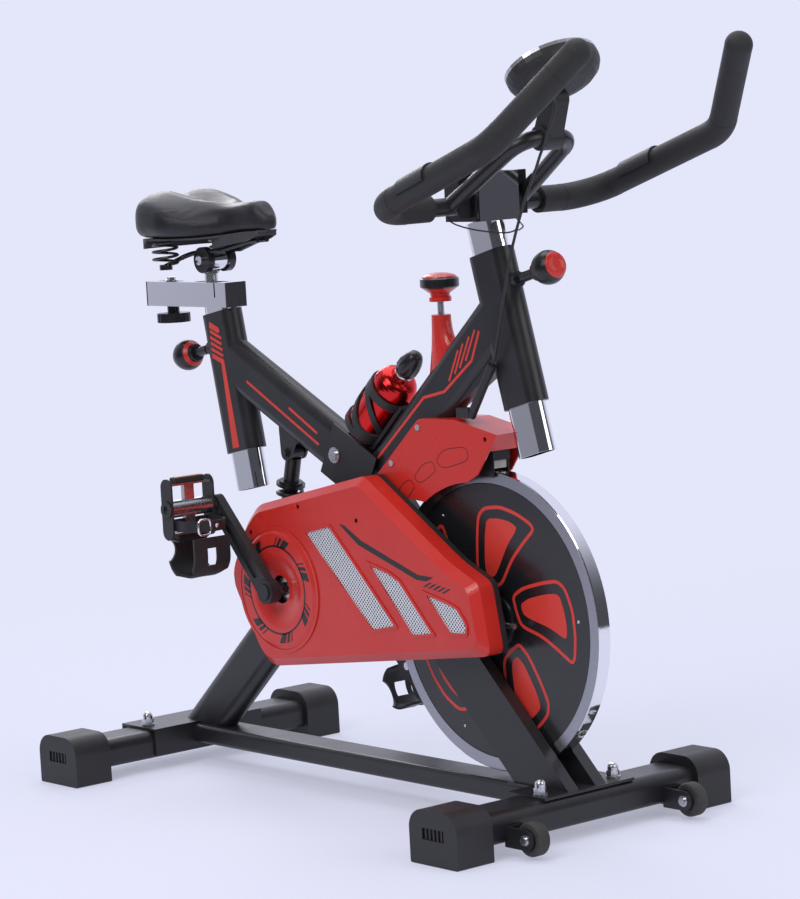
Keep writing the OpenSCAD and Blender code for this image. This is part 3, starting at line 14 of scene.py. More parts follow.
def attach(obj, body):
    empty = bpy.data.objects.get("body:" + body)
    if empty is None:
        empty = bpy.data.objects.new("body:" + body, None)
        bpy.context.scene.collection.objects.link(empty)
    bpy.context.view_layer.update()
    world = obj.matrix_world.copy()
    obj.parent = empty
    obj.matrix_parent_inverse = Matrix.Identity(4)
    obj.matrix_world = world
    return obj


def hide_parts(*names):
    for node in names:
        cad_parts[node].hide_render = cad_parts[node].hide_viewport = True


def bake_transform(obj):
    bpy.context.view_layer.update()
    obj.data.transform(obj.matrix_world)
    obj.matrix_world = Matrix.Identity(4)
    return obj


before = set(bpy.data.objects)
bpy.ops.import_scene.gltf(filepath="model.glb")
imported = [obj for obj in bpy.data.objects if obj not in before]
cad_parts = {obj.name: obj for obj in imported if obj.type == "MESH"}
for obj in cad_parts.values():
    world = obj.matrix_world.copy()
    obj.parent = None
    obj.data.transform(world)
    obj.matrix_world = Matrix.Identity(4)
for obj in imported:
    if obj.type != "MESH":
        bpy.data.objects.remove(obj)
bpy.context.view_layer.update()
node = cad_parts

# Places on the bike, repeated from the solids' source

MM = 0.001
CRANK_AXLE = np.array([-0.192996, 0.309051])
WHEEL_AXLE = np.array([0.205037, 0.286])
MAIN_FOOT = np.array([-0.531, 0.030])
MAIN_RISE = math.radians(41.7)
SEAT_TUBE_TOP = np.array([-0.402924, 0.713811])
SEAT_UP = np.array([-0.194234, 0.980955])
SEAT_BACK = np.array([-0.980955, -0.194234])
STAY_PIVOT = np.array([-0.114583, 0.508161])
STAY_UP = np.array([-0.894941, 0.446185])
STAY_OUT = np.array([0.446185, 0.894941])
HEAD_TOP = np.array([0.227237, 0.807269])
HEAD_UP = np.array([-0.258819, 0.965926])
HEAD_FORWARD = np.array([0.965926, 0.258819])
PIN_DROP = 0.05
SEAT_PIN = (SEAT_TUBE_TOP[0] - PIN_DROP * SEAT_UP[0], 0, SEAT_TUBE_TOP[1] - PIN_DROP * SEAT_UP[1])
SEAT_PIN_AXIS = (SEAT_BACK[0], 0, SEAT_BACK[1])
BAR_PIN = (HEAD_TOP[0] - PIN_DROP * HEAD_UP[0], 0, HEAD_TOP[1] - PIN_DROP * HEAD_UP[1])
BAR_PIN_AXIS = (HEAD_FORWARD[0], 0, HEAD_FORWARD[1])
PIN_BALL = 0.106
PEDAL = {"right": (-0.306749, -0.157, 0.435389, 90), "left": (-0.079243, 0.121, 0.182713, 160)}
BOTTLE_FOOT = (-0.07202, 0, 0.54608)
TUBE_SIDE = 0.018
CASE_FACE = 0.083
DISH_FACE = CASE_FACE + 0.004
DISC_FACE = 0.0105
COVER_FACE = 0.033
SIDES = {"right": -1, "left": 1}


def on_main(points):
    """Points in millimetres, up the main tube's centre line and square above it, as x and z in metres."""
    s, n = np.asarray(points, float).T * MM
    c, k = math.cos(MAIN_RISE), math.sin(MAIN_RISE)
    return MAIN_FOOT + np.stack([s * c - n * k, s * k + n * c], -1)


def on_axes(origin, along, across, points):
    """Points (a, b) in millimetres along two directions from an origin, as x and z in metres."""
    a, b = np.asarray(points, float).T * MM
    return origin + a[:, None] * along + b[:, None] * across


def round_axle(origin, points):
    """Points (radius in millimetres, angle in degrees) about an axle, as x and z in metres."""
    r, a = np.asarray(points, float).T
    a = np.radians(a)
    return origin + r[:, None] * MM * np.stack([np.cos(a), np.sin(a)], -1)


def on_case(points):
    """Points in millimetres from the crank axle on the belt case's side, as x and z in metres."""
    return CRANK_AXLE + np.asarray(points, float) * MM


# Mesh building


def add_mesh(name, points, faces, body, material, smooth=True):
    """A piece made of points and faces that rides on a body, or on none yet when the body is None."""
    mesh = bpy.data.meshes.new(name)
    mesh.from_pydata(np.asarray(points, float).reshape(-1, 3).tolist(), [], [list(f) for f in faces])
    mesh.materials.append(material)
    mesh.polygons.foreach_set("use_smooth", [smooth] * len(mesh.polygons))
    mesh.update()
    obj = bpy.data.objects.new(name, mesh)
    bpy.context.scene.collection.objects.link(obj)
    if body:
        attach(obj, body)
    return obj


def outward(points, faces):
    """Faces of closed surfaces, turned over when the volume that they enclose comes out negative."""
    p = np.asarray(points, float).reshape(-1, 3)
    volume = 0.0
    for f in faces:
        for b, c in zip(f[1:-1], f[2:]):
            volume += np.dot(p[f[0]], np.cross(p[b], p[c]))
    return [tuple(f)[::-1] for f in faces] if volume < 0 else [tuple(f) for f in faces]


def grid_faces(rows, cols, wrap_rows=False):
    """Quads of rows of rings with cols points each. The last ring joins the first when asked."""
    i = np.arange(rows if wrap_rows else rows - 1)[:, None]
    j = np.arange(cols)[None, :]
    a = i * cols + j
    b = i * cols + (j + 1) % cols
    c = ((i + 1) % rows) * cols + (j + 1) % cols
    d = ((i + 1) % rows) * cols + j
    return [tuple(f) for f in np.stack([a, b, c, d], -1).reshape(-1, 4).tolist()]


def rod_faces(rows, cols, closed=False):
    """Faces of a rod made of rings, with both ends capped unless the rings run round."""
    faces = grid_faces(rows, cols, closed)
    if not closed:
        faces += [tuple(range(cols))[::-1], tuple(range((rows - 1) * cols, rows * cols))]
    return faces


def carried(path, profile, flat):
    """Profile (m, 2) carried along a path (n, 3): each ring stands square to the path's direction there, with
    its second axis as near as possible to `flat`. Returns points (n, m, 3)."""
    ahead = np.gradient(path, axis=0)
    ahead /= np.linalg.norm(ahead, axis=1, keepdims=True)
    side = np.cross(flat, ahead)
    side /= np.linalg.norm(side, axis=1, keepdims=True)
    up = np.cross(ahead, side)
    return path[:, None] + profile[:, :1] * side[:, None] + profile[:, 1:] * up[:, None]


def swept(name, path, profile, body, material, flat, closed=False):
    """A solid rod: a closed profile carried along a path, with both ends capped unless the path is closed."""
    grid = carried(path, profile, flat)
    return add_mesh(name, grid, rod_faces(*grid.shape[:2], closed), body, material)


def turned(name, profile, places, axis, body, material, count=40, flutes=None):
    """Surface of revolution, closed at both ends: rows (radius, distance) in millimetres turned round an axis
    at one place or at several. Flutes (number, depth, low, high) push the radius in and out by a cosine of
    the angle, between two distances."""
    axis = np.asarray(axis, float) / np.linalg.norm(axis)
    one = np.cross(axis, (0, 1, 0) if abs(axis[1]) < 0.9 else (1, 0, 0))
    one /= np.linalg.norm(one)
    two = np.cross(axis, one)
    rows = np.array([row for row in profile if row[0] > 0], float)
    a = np.linspace(0, 2 * np.pi, count, endpoint=False)
    r = np.repeat(rows[:, :1], count, axis=1)
    if flutes:
        number, depth, low, high = flutes
        inside = (rows[:, 1:] > low) & (rows[:, 1:] < high)
        r = r + inside * depth * np.cos(number * a)
    ring = np.cos(a)[:, None] * one + np.sin(a)[:, None] * two
    body_points = (rows[:, 1, None, None] * axis + r[..., None] * ring).reshape(-1, 3)
    tips = np.array([profile[0][1] * axis, profile[-1][1] * axis])
    single = np.vstack([body_points, tips]) * MM
    faces = grid_faces(len(rows), count)
    j = np.arange(count)
    ahead = (j + 1) % count
    last = (len(rows) - 1) * count
    faces += [(b, a, len(body_points)) for a, b in zip(j, ahead)]
    faces += [(last + a, last + b, len(body_points) + 1) for a, b in zip(j, ahead)]
    faces = outward(single, faces)
    points, shells = [], []
    for k, place in enumerate(np.atleast_2d(np.asarray(places, float))):
        points.append(single + place)
        shells += [tuple(int(v) + k * len(single) for v in f) for f in faces]
    return add_mesh(name, np.vstack(points), shells, body, material)


def blocks(name, boxes, axes, cut, body, material):
    """Bevelled blocks, each a centre and three half sizes in metres along the axes, with its corners cut."""
    mesh = bmesh.new()
    axes = np.asarray(axes, float)
    for centre, half in boxes:
        half = np.asarray(half, float)
        corners = []
        for sign in np.array(np.meshgrid([-1, 1], [-1, 1], [-1, 1])).reshape(3, -1).T:
            for k in range(3):
                inset = np.where(np.arange(3) == k, 0.0, cut)
                corners.append(mesh.verts.new(np.asarray(centre) + (sign * (half - inset)) @ axes))
        bmesh.ops.convex_hull(mesh, input=corners)
    bmesh.ops.recalc_face_normals(mesh, faces=mesh.faces)
    mesh.verts.index_update()
    points = [tuple(v.co) for v in mesh.verts]
    faces = [tuple(v.index for v in f.verts) for f in mesh.faces]
    mesh.free()
    return add_mesh(name, points, faces, body, material, smooth=False)


def circle(radius, count=12):
    """A ring of points of that radius."""
    a = np.linspace(0, 2 * np.pi, count, endpoint=False)
    return radius * np.stack([np.cos(a), np.sin(a)], -1)


SPAN_STEPS = 24


def smooth_path(points, count):
    """Catmull-Rom curve through the points, `count` places at even steps of its length."""
    p = np.asarray(points, float)
    p = np.vstack([2 * p[0] - p[1], p, 2 * p[-1] - p[-2]])
    t = np.linspace(0, 1, SPAN_STEPS, endpoint=False)[:, None]
    spans = []
    for a, b, c, d in zip(p[:-3], p[1:-2], p[2:-1], p[3:]):
        bend = 2 * a - 5 * b + 4 * c - d
        twist = 3 * b - a - 3 * c + d
        spans.append(0.5 * (2 * b + (c - a) * t + bend * t**2 + twist * t**3))
    dense = np.vstack(spans + [p[-2:-1]])
    run = np.concatenate([[0], np.cumsum(np.linalg.norm(np.diff(dense, axis=0), axis=1))])
    even = np.linspace(0, run[-1], count)
    return np.stack([np.interp(even, run, dense[:, k]) for k in range(dense.shape[1])], -1)


def bar(a, b, width):
    """Outline of a straight stripe of one width from a to b in x and z."""
    d = (b - a) / np.linalg.norm(b - a)
    n = np.array([-d[1], d[0]]) * (width / 2)
    return np.array([a - n, b - n, b + n, a + n])


def ribbon(points, width):
    """Outline of a stripe of one width along a polyline, with mitred corners."""
    p = np.asarray(points, float)
    d = np.diff(p, axis=0)
    d /= np.linalg.norm(d, axis=1, keepdims=True)
    n = np.stack([-d[:, 1], d[:, 0]], -1)
    n = np.vstack([n[:1], (n[:-1] + n[1:]), n[-1:]])
    n[1:-1] *= 2 / (n[1:-1] ** 2).sum(1, keepdims=True)
    return np.vstack([p + n * width / 2, (p - n * width / 2)[::-1]])


def round_corners(points, passes=3):
    """Corner cutting on a closed outline: each pass puts points at 0.18 and 0.82 of every side."""
    p = np.asarray(points, float)
    for _ in range(passes):
        q = np.roll(p, -1, axis=0)
        p = np.stack([0.82 * p + 0.18 * q, 0.18 * p + 0.82 * q], 1).reshape(-1, 2)
    return p


def closed_ribbon(points, width):
    """Quads of a closed stripe of one width along an outline, as a list of four-cornered plates."""
    p = np.asarray(points, float)
    d = np.roll(p, -1, axis=0) - np.roll(p, 1, axis=0)
    d /= np.linalg.norm(d, axis=1, keepdims=True)
    n = np.stack([-d[:, 1], d[:, 0]], -1) * width / 2
    inner, outer = p - n, p + n
    return list(np.stack([inner, outer, np.roll(outer, -1, axis=0), np.roll(inner, -1, axis=0)], 1))


FILM_THICK = 0.00025
FILM_SUNK = 0.0001


def printed(name, outlines, y, body, material, thick=FILM_THICK):
    """Flat printed film: each outline in x and z becomes a closed plate that stands `thick` off the plane y,
    away from the middle of the bike, and is sunk a little into it. A ring is drawn as a ribbon of plates."""
    out = 1.0 if y > 0 else -1.0
    points, faces, start = [], [], 0
    for line in outlines:
        area = 0.5 * np.sum(line[:, 0] * np.roll(line[:, 1], -1) - np.roll(line[:, 0], -1) * line[:, 1])
        if area * out > 0:
            line = line[::-1]
        count = len(line)
        low = np.stack([line[:, 0], np.full(count, y - out * FILM_SUNK), line[:, 1]], -1)
        top = low + np.array([0, out * (thick + FILM_SUNK), 0])
        points += [low, top]
        i = np.arange(count)
        j = (i + 1) % count
        faces += [tuple(start + count + i), tuple((start + i)[::-1])]
        walls = np.stack([start + i, start + j, start + count + j, start + count + i], -1)
        faces += [tuple(f) for f in walls]
        start += 2 * count
    return add_mesh(name, np.vstack(points), faces, body, material, smooth=False)


# Shader groups


def new_group(name, inputs, outputs):
    """An empty shader group with float, colour and vector sockets."""
    tree = bpy.data.node_groups.new(name, "ShaderNodeTree")
    for label, kind, value in inputs:
        sock = tree.interface.new_socket(label, in_out="INPUT", socket_type="NodeSocket" + kind)
        if value is not None:
            sock.default_value = value
    for label, kind in outputs:
        tree.interface.new_socket(label, in_out="OUTPUT", socket_type="NodeSocket" + kind)
    return tree, tree.nodes.new("NodeGroupInput"), tree.nodes.new("NodeGroupOutput")


def fill(tree, target, links):
    """Inputs of a node linked or filled: links maps an input to the socket or the value that it takes."""
    for key, value in links.items():
        if isinstance(value, bpy.types.NodeSocket):
            tree.links.new(value, target.inputs[key])
        else:
            target.inputs[key].default_value = value


def add_node(tree, kind, links=None, **settings):
    """A node with its properties set and its inputs linked or filled."""
    n = tree.nodes.new("ShaderNode" + kind)
    for key, value in settings.items():
        setattr(n, key, value)
    fill(tree, n, links or {})
    return n


def math_node(tree, operation, a, b=0.0):
    """Result of one math step on two sockets or numbers."""
    return add_node(tree, "Math", {0: a, 1: b}, operation=operation).outputs[0]


def mapped(tree, value, low=0.0, high=1.0, to_low=0.0, to_high=1.0, curve="LINEAR"):
    """A value carried from one range to another and held to its ends."""
    ends = {"Value": value, "From Min": low, "From Max": high, "To Min": to_low, "To Max": to_high}
    return add_node(tree, "MapRange", ends, interpolation_type=curve).outputs["Result"]


# Places of the two colours and the result among the sockets of a colour mix

MIX_FIRST, MIX_SECOND, MIX_RESULT = 6, 7, 2


def mixed(tree, factor, first, second):
    """Colour that goes from the first to the second as the factor goes from 0 to 1."""
    mix = add_node(tree, "Mix", {"Factor": factor, MIX_FIRST: first, MIX_SECOND: second}, data_type="RGBA")
    return mix.outputs[MIX_RESULT]


def way_along(tree, coords, place, axis):
    """Distance from a place, measured along an axis."""
    apart = add_node(tree, "VectorMath", {0: coords, 1: place}, operation="SUBTRACT").outputs[0]
    return add_node(tree, "VectorMath", {0: apart, 1: axis}, operation="DOT_PRODUCT").outputs["Value"]


def make_skin_group():
    """Grain and handling marks of a moulded or painted skin. Fine noise gives the height, a broad noise mixes
    the colour towards a second one and moves the roughness between a low and a high value."""
    tree, inp, out = new_group(
        "Skin",
        [("Vector", "Vector", None), ("Colour", "Color", (0.5, 0.5, 0.5, 1)),
         ("Second colour", "Color", (0.4, 0.4, 0.4, 1)), ("Grain scale", "Float", 900.0),
         ("Mark scale", "Float", 14.0), ("Mark amount", "Float", 0.3), ("Rough low", "Float", 0.3),
         ("Rough high", "Float", 0.45)],
        [("Colour", "Color"), ("Roughness", "Float"), ("Height", "Float")])
    i = inp.outputs
    fine = add_node(tree, "TexNoise", {"Vector": i["Vector"], "Scale": i["Grain scale"], "Detail": 3.0})
    broad = add_node(tree, "TexNoise", {"Vector": i["Vector"], "Scale": i["Mark scale"], "Detail": 5.0,
                                        "Roughness": 0.6}).outputs["Fac"]
    amount = math_node(tree, "MULTIPLY", mapped(tree, broad, 0.38, 0.66), i["Mark amount"])
    colour = mixed(tree, amount, i["Colour"], i["Second colour"])
    rough = mapped(tree, broad, 0.3, 0.7, i["Rough low"], i["Rough high"])
    fill(tree, out, {"Colour": colour, "Roughness": rough, "Height": fine.outputs["Fac"]})
    return tree


def make_brushed_group():
    """Fine drawn lines of rolled or turned steel: noise stretched along one axis for height and roughness."""
    tree, inp, out = new_group(
        "Brushed",
        [("Vector", "Vector", None), ("Stretch", "Vector", (900, 900, 12)), ("Rough low", "Float", 0.2),
         ("Rough high", "Float", 0.35)],
        [("Roughness", "Float"), ("Height", "Float")])
    i = inp.outputs
    long = add_node(tree, "VectorMath", {0: i["Vector"], 1: i["Stretch"]}, operation="MULTIPLY").outputs[0]
    lines = add_node(tree, "TexNoise", {"Vector": long, "Scale": 1.0, "Detail": 4.0}).outputs["Fac"]
    rough = mapped(tree, lines, 0.3, 0.7, i["Rough low"], i["Rough high"])
    fill(tree, out, {"Roughness": rough, "Height": lines})
    return tree


SKIN = make_skin_group()
BRUSHED = make_brushed_group()


def start_material(name, metallic=0.0, coat=0.0, coat_rough=0.1):
    """A material with its shader, object coordinates and a bump node."""
    mat = bpy.data.materials.new(name)
    mat.use_nodes = True
    tree = mat.node_tree
    shader = tree.nodes["Principled BSDF"]
    coords = add_node(tree, "TexCoord").outputs["Object"]
    bump = add_node(tree, "Bump")
    fill(tree, shader, {"Metallic": metallic, "Coat Weight": coat, "Coat Roughness": coat_rough,
                        "Normal": bump.outputs["Normal"]})
    return mat, tree, shader, coords, bump


def dress(tree, shader, bump, colour, rough, height, strength, distance):
    """Colour, roughness and relief of a material, from sockets or plain values."""
    fill(tree, shader, {"Base Color": colour, "Roughness": rough})
    fill(tree, bump, {"Height": height, "Strength": strength, "Distance": distance})


def skin_of(tree, coords, colour, second, grain, mark_scale, mark, rough):
    """Outputs of the Skin group placed in a material with its own values."""
    values = {"Vector": coords, "Colour": (*colour, 1), "Second colour": (*second, 1), "Grain scale": grain,
              "Mark scale": mark_scale, "Mark amount": mark, "Rough low": rough[0], "Rough high": rough[1]}
    return add_node(tree, "Group", values, node_tree=SKIN).outputs


def brushed_of(tree, coords, stretch, rough):
    """Outputs of the Brushed group placed in a material with its own values."""
    values = {"Vector": coords, "Stretch": stretch, "Rough low": rough[0], "Rough high": rough[1]}
    return add_node(tree, "Group", values, node_tree=BRUSHED).outputs


def moulded(name, colour, second, grain=900.0, depth=0.05, mark_scale=14.0, mark=0.5, rough=(0.3, 0.45),
            metallic=0.0, coat=0.0, coat_rough=0.1):
    """Painted or moulded finish made with the Skin group."""
    mat, tree, shader, coords, bump = start_material(name, metallic, coat, coat_rough)
    skin = skin_of(tree, coords, colour, second, grain, mark_scale, mark, rough)
    dress(tree, shader, bump, skin["Colour"], skin["Roughness"], skin["Height"], depth, 0.0006)
    return mat


def plated(name, colour, stretch, rough, depth):
    """Bright or brushed metal made with the Brushed group."""
    mat, tree, shader, coords, bump = start_material(name, metallic=1.0)
    lines = brushed_of(tree, coords, stretch, rough)
    dress(tree, shader, bump, (*colour, 1), lines["Roughness"], lines["Height"], depth, 0.0004)
    return mat


def two_tone(name, first, second, place, axis, steps, rough=(0.25, 0.4), coat=0.0):
    """Finish that changes colour along a line: `place` is a point on it, `axis` its direction, and `steps`
    are the distances from the point at which the colour changes over and back."""
    mat, tree, shader, coords, bump = start_material(name, coat=coat)
    a, b = (skin_of(tree, coords, colour, tuple(0.8 * c for c in colour), 900.0, 20.0, 0.4, rough)
            for colour in (first, second))
    along = way_along(tree, coords, place, axis)
    mask = None
    for low, high in steps:
        band = math_node(tree, "MULTIPLY", math_node(tree, "GREATER_THAN", along, low),
                         math_node(tree, "LESS_THAN", along, high))
        mask = band if mask is None else math_node(tree, "MAXIMUM", mask, band)
    colour = mixed(tree, mask, a["Colour"], b["Colour"])
    dress(tree, shader, bump, colour, a["Roughness"], a["Height"], 0.04, 0.0005)
    return mat


HOLE_PERIOD = 0.0062


def pierced_metal(name):
    """Silver sheet with rows of round holes, each row shifted by half a step: two cosines on x and z turned
    by an eighth of a circle, 4.4 mm from hole to hole. The holes are painted near black where the sum is high,
    as painted shade seen through them."""
    mat, tree, shader, coords, bump = start_material(name, metallic=0.35)
    split = add_node(tree, "SeparateXYZ", {0: coords}).outputs
    slants = [math_node(tree, way, split["X"], split["Z"]) for way in ("ADD", "SUBTRACT")]
    turns = [math_node(tree, "MULTIPLY", slant, 2 * math.pi / HOLE_PERIOD) for slant in slants]
    waves = [math_node(tree, "COSINE", turn) for turn in turns]
    hole = mapped(tree, math_node(tree, "ADD", *waves), 0.35, 0.75)
    # Near black in the holes is painted shade of the case's dark inside seen through them
    colour = mixed(tree, hole, (0.78, 0.79, 0.82, 1), (0.015, 0.015, 0.02, 1))
    rough = mapped(tree, hole, to_low=0.34, to_high=0.8)
    dress(tree, shader, bump, colour, rough, math_node(tree, "SUBTRACT", 1.0, hole), 0.8, 0.0006)
    return mat


def parted_metal(name, bright, dull, middle, reach, rough_bright, rough_dull, metallic=(1.0, 1.0)):
    """Metal that changes its finish sideways: bright within `reach` of the upright plane y = `middle`, and
    dull outside it."""
    mat, tree, shader, coords, bump = start_material(name, metallic=1.0)
    along = way_along(tree, coords, (0, middle, 0), (0, 1, 0))
    mask = math_node(tree, "GREATER_THAN", math_node(tree, "ABSOLUTE", along), reach)
    colour = mixed(tree, mask, (*bright, 1), (*dull, 1))
    rough = [mapped(tree, mask, to_low=a, to_high=b) for a, b in zip(rough_bright, rough_dull)]
    lines = brushed_of(tree, coords, (320, 320, 320), rough)
    if metallic[0] != metallic[1]:
        fill(tree, shader, {"Metallic": mapped(tree, mask, to_low=metallic[0], to_high=metallic[1])})
    dress(tree, shader, bump, colour, lines["Roughness"], lines["Height"], 0.04, 0.0004)
    return mat


def grained_vinyl(name):
    """Black vinyl: leather cells from a fine Voronoi pattern, with a soft sheen and rubbed places."""
    mat, tree, shader, coords, bump = start_material(name)
    fill(tree, shader, {"Sheen Weight": 0.03, "Specular IOR Level": 0.36})
    skin = skin_of(tree, coords, (0.017, 0.017, 0.021), (0.03, 0.03, 0.036), 1400.0, 22.0, 0.6, (0.28, 0.4))
    cells = add_node(tree, "TexVoronoi", {"Vector": coords, "Scale": 620.0}, feature="DISTANCE_TO_EDGE")
    raised = mapped(tree, cells.outputs["Distance"], 0.0, 0.16)
    height = math_node(tree, "ADD", raised, math_node(tree, "MULTIPLY", skin["Height"], 0.4))
    dress(tree, shader, bump, skin["Colour"], skin["Roughness"], height, 0.22, 0.0004)
    return mat


# Finishes

BLACK = (0.014, 0.014, 0.016)
SOFT_BLACK = (0.024, 0.024, 0.027)
RED = (0.62, 0.026, 0.018)
DEEP_RED = (0.5, 0.018, 0.014)
PRINT_RED = (0.72, 0.05, 0.035)

powder_coat = moulded("powder_coat", BLACK, SOFT_BLACK, grain=1500, depth=0.12, mark=0.6, rough=(0.3, 0.4))
red_plastic = moulded("red_plastic", RED, DEEP_RED, grain=1800, depth=0.03, mark=0.2, rough=(0.26, 0.36),
                      coat=0.15, coat_rough=0.12)
chrome = plated("chrome", (0.82, 0.83, 0.86), stretch=(30, 30, 30), rough=(0.05, 0.1), depth=0.01)
zinc = plated("zinc", (0.66, 0.67, 0.69), stretch=(300, 300, 300), rough=(0.22, 0.36), depth=0.05)
alloy = plated("alloy", (0.62, 0.63, 0.65), stretch=(240, 240, 240), rough=(0.25, 0.4), depth=0.08)
disc_black = moulded("disc_black", (0.012, 0.012, 0.014), (0.02, 0.02, 0.023), grain=1200, depth=0.03,
                     rough=(0.2, 0.3), coat=0.1)
black_plastic = moulded("black_plastic", (0.016, 0.016, 0.018), (0.028, 0.028, 0.03), grain=1100, depth=0.25,
                        mark=0.6, rough=(0.42, 0.56))
smooth_black = moulded("smooth_black", (0.012, 0.012, 0.014), (0.02, 0.02, 0.022), grain=1500, depth=0.04,
                       rough=(0.22, 0.34))
bar_enamel = moulded("bar_enamel", (0.012, 0.012, 0.013), (0.02, 0.02, 0.022), grain=1300, depth=0.06,
                     rough=(0.25, 0.36))
tread_rubber = moulded("tread_rubber", (0.03, 0.029, 0.028), (0.075, 0.07, 0.066), grain=700, depth=0.3,
                       mark_scale=40, mark=0.7, rough=(0.6, 0.8))
foam = moulded("foam", (0.017, 0.017, 0.018), (0.03, 0.03, 0.032), grain=1700, depth=0.5, mark_scale=30,
               rough=(0.55, 0.7))
vinyl = grained_vinyl("vinyl")
felt = moulded("felt", (0.55, 0.54, 0.49), (0.42, 0.41, 0.37), grain=1600, depth=0.9, mark_scale=90, mark=0.8,
               rough=(0.85, 0.95))
silver_paint = moulded("silver_paint", (0.5, 0.51, 0.53), (0.44, 0.45, 0.47), grain=2200, depth=0.05,
                       rough=(0.24, 0.32), metallic=0.75)
lens = moulded("lens", (0.02, 0.022, 0.024), (0.03, 0.032, 0.034), grain=500, depth=0.01, rough=(0.06, 0.12),
               coat=0.5, coat_rough=0.03)
red_print = moulded("red_print", PRINT_RED, RED, grain=2000, depth=0.03, mark=0.3, rough=(0.3, 0.4))
black_print = moulded("black_print", (0.012, 0.012, 0.013), (0.02, 0.02, 0.02), grain=2000, depth=0.03,
                      rough=(0.25, 0.35))
red_anodised = plated("red_anodised", (0.62, 0.025, 0.025), stretch=(200, 200, 200), rough=(0.16, 0.26),
                      depth=0.03)
mesh_silver = pierced_metal("mesh_silver")
amber = moulded("amber", (0.75, 0.28, 0.03), (0.6, 0.2, 0.02), grain=900, depth=0.05, rough=(0.12, 0.2),
                coat=0.5)
shell_grey = moulded("shell_grey", (0.05, 0.05, 0.055), (0.07, 0.07, 0.075), grain=1100, depth=0.2,
                     rough=(0.42, 0.55))
# Dark red for the cover's engraved lines: painted shade in the grooves
groove_shade_red = moulded("groove_shade_red", (0.13, 0.006, 0.006), (0.1, 0.004, 0.004), grain=1500, depth=0.05,
                     rough=(0.4, 0.5))
cable_rubber = moulded("cable_rubber", (0.016, 0.016, 0.017), (0.026, 0.026, 0.027), grain=1600, depth=0.15,
                       rough=(0.4, 0.5))
RIM_REACH = 0.0107
wheel_metal = parted_metal("wheel_metal", (0.84, 0.85, 0.88), (0.36, 0.365, 0.4), 0, RIM_REACH,
                           (0.04, 0.08), (0.26, 0.36))
CAGE_REACH = 0.0362
cage_right, cage_left = (
    parted_metal("cage_" + label, (0.6, 0.61, 0.63), (0.02, 0.02, 0.022), PEDAL[label][1], CAGE_REACH,
                 (0.16, 0.3), (0.4, 0.5), metallic=(1.0, 0.0)) for label in SIDES)
KNOB_FOOT = (0.113037, 0, 0.737)
KNOB_BANDS = [(0.019, 0.0342)]
knob_bands = two_tone("knob_bands", RED, BLACK, KNOB_FOOT, (0, 0, 1), KNOB_BANDS, rough=(0.22, 0.34),
                      coat=0.3)
PIN_BANDS = [(0.121, 1.0), (0.087, 0.0925)]
seat_pin_bands = two_tone("seat_pin_bands", BLACK, RED, SEAT_PIN, SEAT_PIN_AXIS, PIN_BANDS)
bar_pin_bands = two_tone("bar_pin_bands", BLACK, RED, BAR_PIN, BAR_PIN_AXIS, PIN_BANDS)

finish_of = {
    powder_coat: "main_frame fork_legs base_beam rear_stabilizer front_stabilizer seat_stay brake_arm",
    red_plastic: "case_right crank_dish upper_cover_right upper_cover_left rod_shroud",
    mesh_silver: "mesh_inserts",
    chrome: "seat_post handlebar_post saddle_clamp",
    wheel_metal: "flywheel",
    disc_black: "flywheel_discs",
    zinc: "fasteners bearings shock_rod crank_axle pedal_axles flywheel_axle seat_carriage tension_rod",
    alloy: "drive_pulley",
    cage_right: "pedal_right",
    cage_left: "pedal_left",
    black_plastic: "stabilizer_end_caps case_left toe_clip_right toe_clip_left rail_plugs console_back"
                   " cable_sleeve bottle_cage bottle_cap crank_arms pulse_sensors",
    smooth_black: "shock_cylinder shock_spring slider_knob saddle_springs saddle_base",
    seat_pin_bands: "seat_pin",
    bar_pin_bands: "bar_pin",
    bar_enamel: "handlebar",
    tread_rubber: "transport_wheel_right transport_wheel_left drive_belt",
    foam: "grips",
    vinyl: "saddle_cover",
    felt: "brake_pad",
    silver_paint: "console_face",
    lens: "console_lens",
    red_print: "console_button",
    knob_bands: "resistance_knob",
    red_anodised: "bottle",
}
for material, names in finish_of.items():
    for name in names.split():
        node[name].data.materials.clear()
        node[name].data.materials.append(material)

# Shock spring

SHOCK_FOOT = np.array([-0.281165, 0.0, 0.358403])
SHOCK_AXIS = np.array([0.250151, 0.0, 0.968207])
COIL_TURNS = 4.5
COIL_RADIUS = 0.018
COIL_WIRE = 0.0032
COIL_LOW = 0.0258
COIL_RISE = 0.0666


def make_shock_spring():
    """Coil round the shock's axis. It rises with its angle, less a sine that makes the pitch flatter at both
    ends."""
    u = np.linspace(0, 1, 217)
    a = 2 * COIL_TURNS * np.pi * u
    rise = COIL_LOW + COIL_RISE * (u - 0.06 * np.sin(2 * np.pi * u))
    across = np.array([0, 1.0, 0])
    ring = np.cos(a)[:, None] * np.cross(across, SHOCK_AXIS) + np.sin(a)[:, None] * across
    path = SHOCK_FOOT + rise[:, None] * SHOCK_AXIS + COIL_RADIUS * ring
    spring = swept("shock_coil", path, circle(COIL_WIRE), None, smooth_black, SHOCK_AXIS)
    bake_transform(spring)
    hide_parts("shock_spring")


make_shock_spring()

# Sensor cable from the console to the sleeve on the main tube, and the two leads of the pulse sensors

CABLE_ROUTE = [
    (395, -30, 1035), (399, -30, 1029), (403, -30, 1021), (405, -31, 1010), (404, -32, 998), (399, -32, 986),
    (392, -33, 972), (384, -33, 958), (374, -34, 940), (363, -34, 920), (351, -35, 898), (339, -36, 876),
    (328, -36, 854), (317, -36, 830), (307, -36, 806), (297, -35, 780), (287, -34, 752), (277, -32, 724),
    (268, -30, 700), (259, -28, 678), (253, -26.5, 664), (248.5, -26, 655.7), (242.5, -26, 646.8)]
CABLE_RADIUS = 0.002
cable_path = smooth_path(np.array(CABLE_ROUTE) * MM, 90)
cable = swept("sensor_lead", cable_path, circle(CABLE_RADIUS, 10), None, cable_rubber, (0, 1, 0))
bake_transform(cable)
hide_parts("sensor_cable")

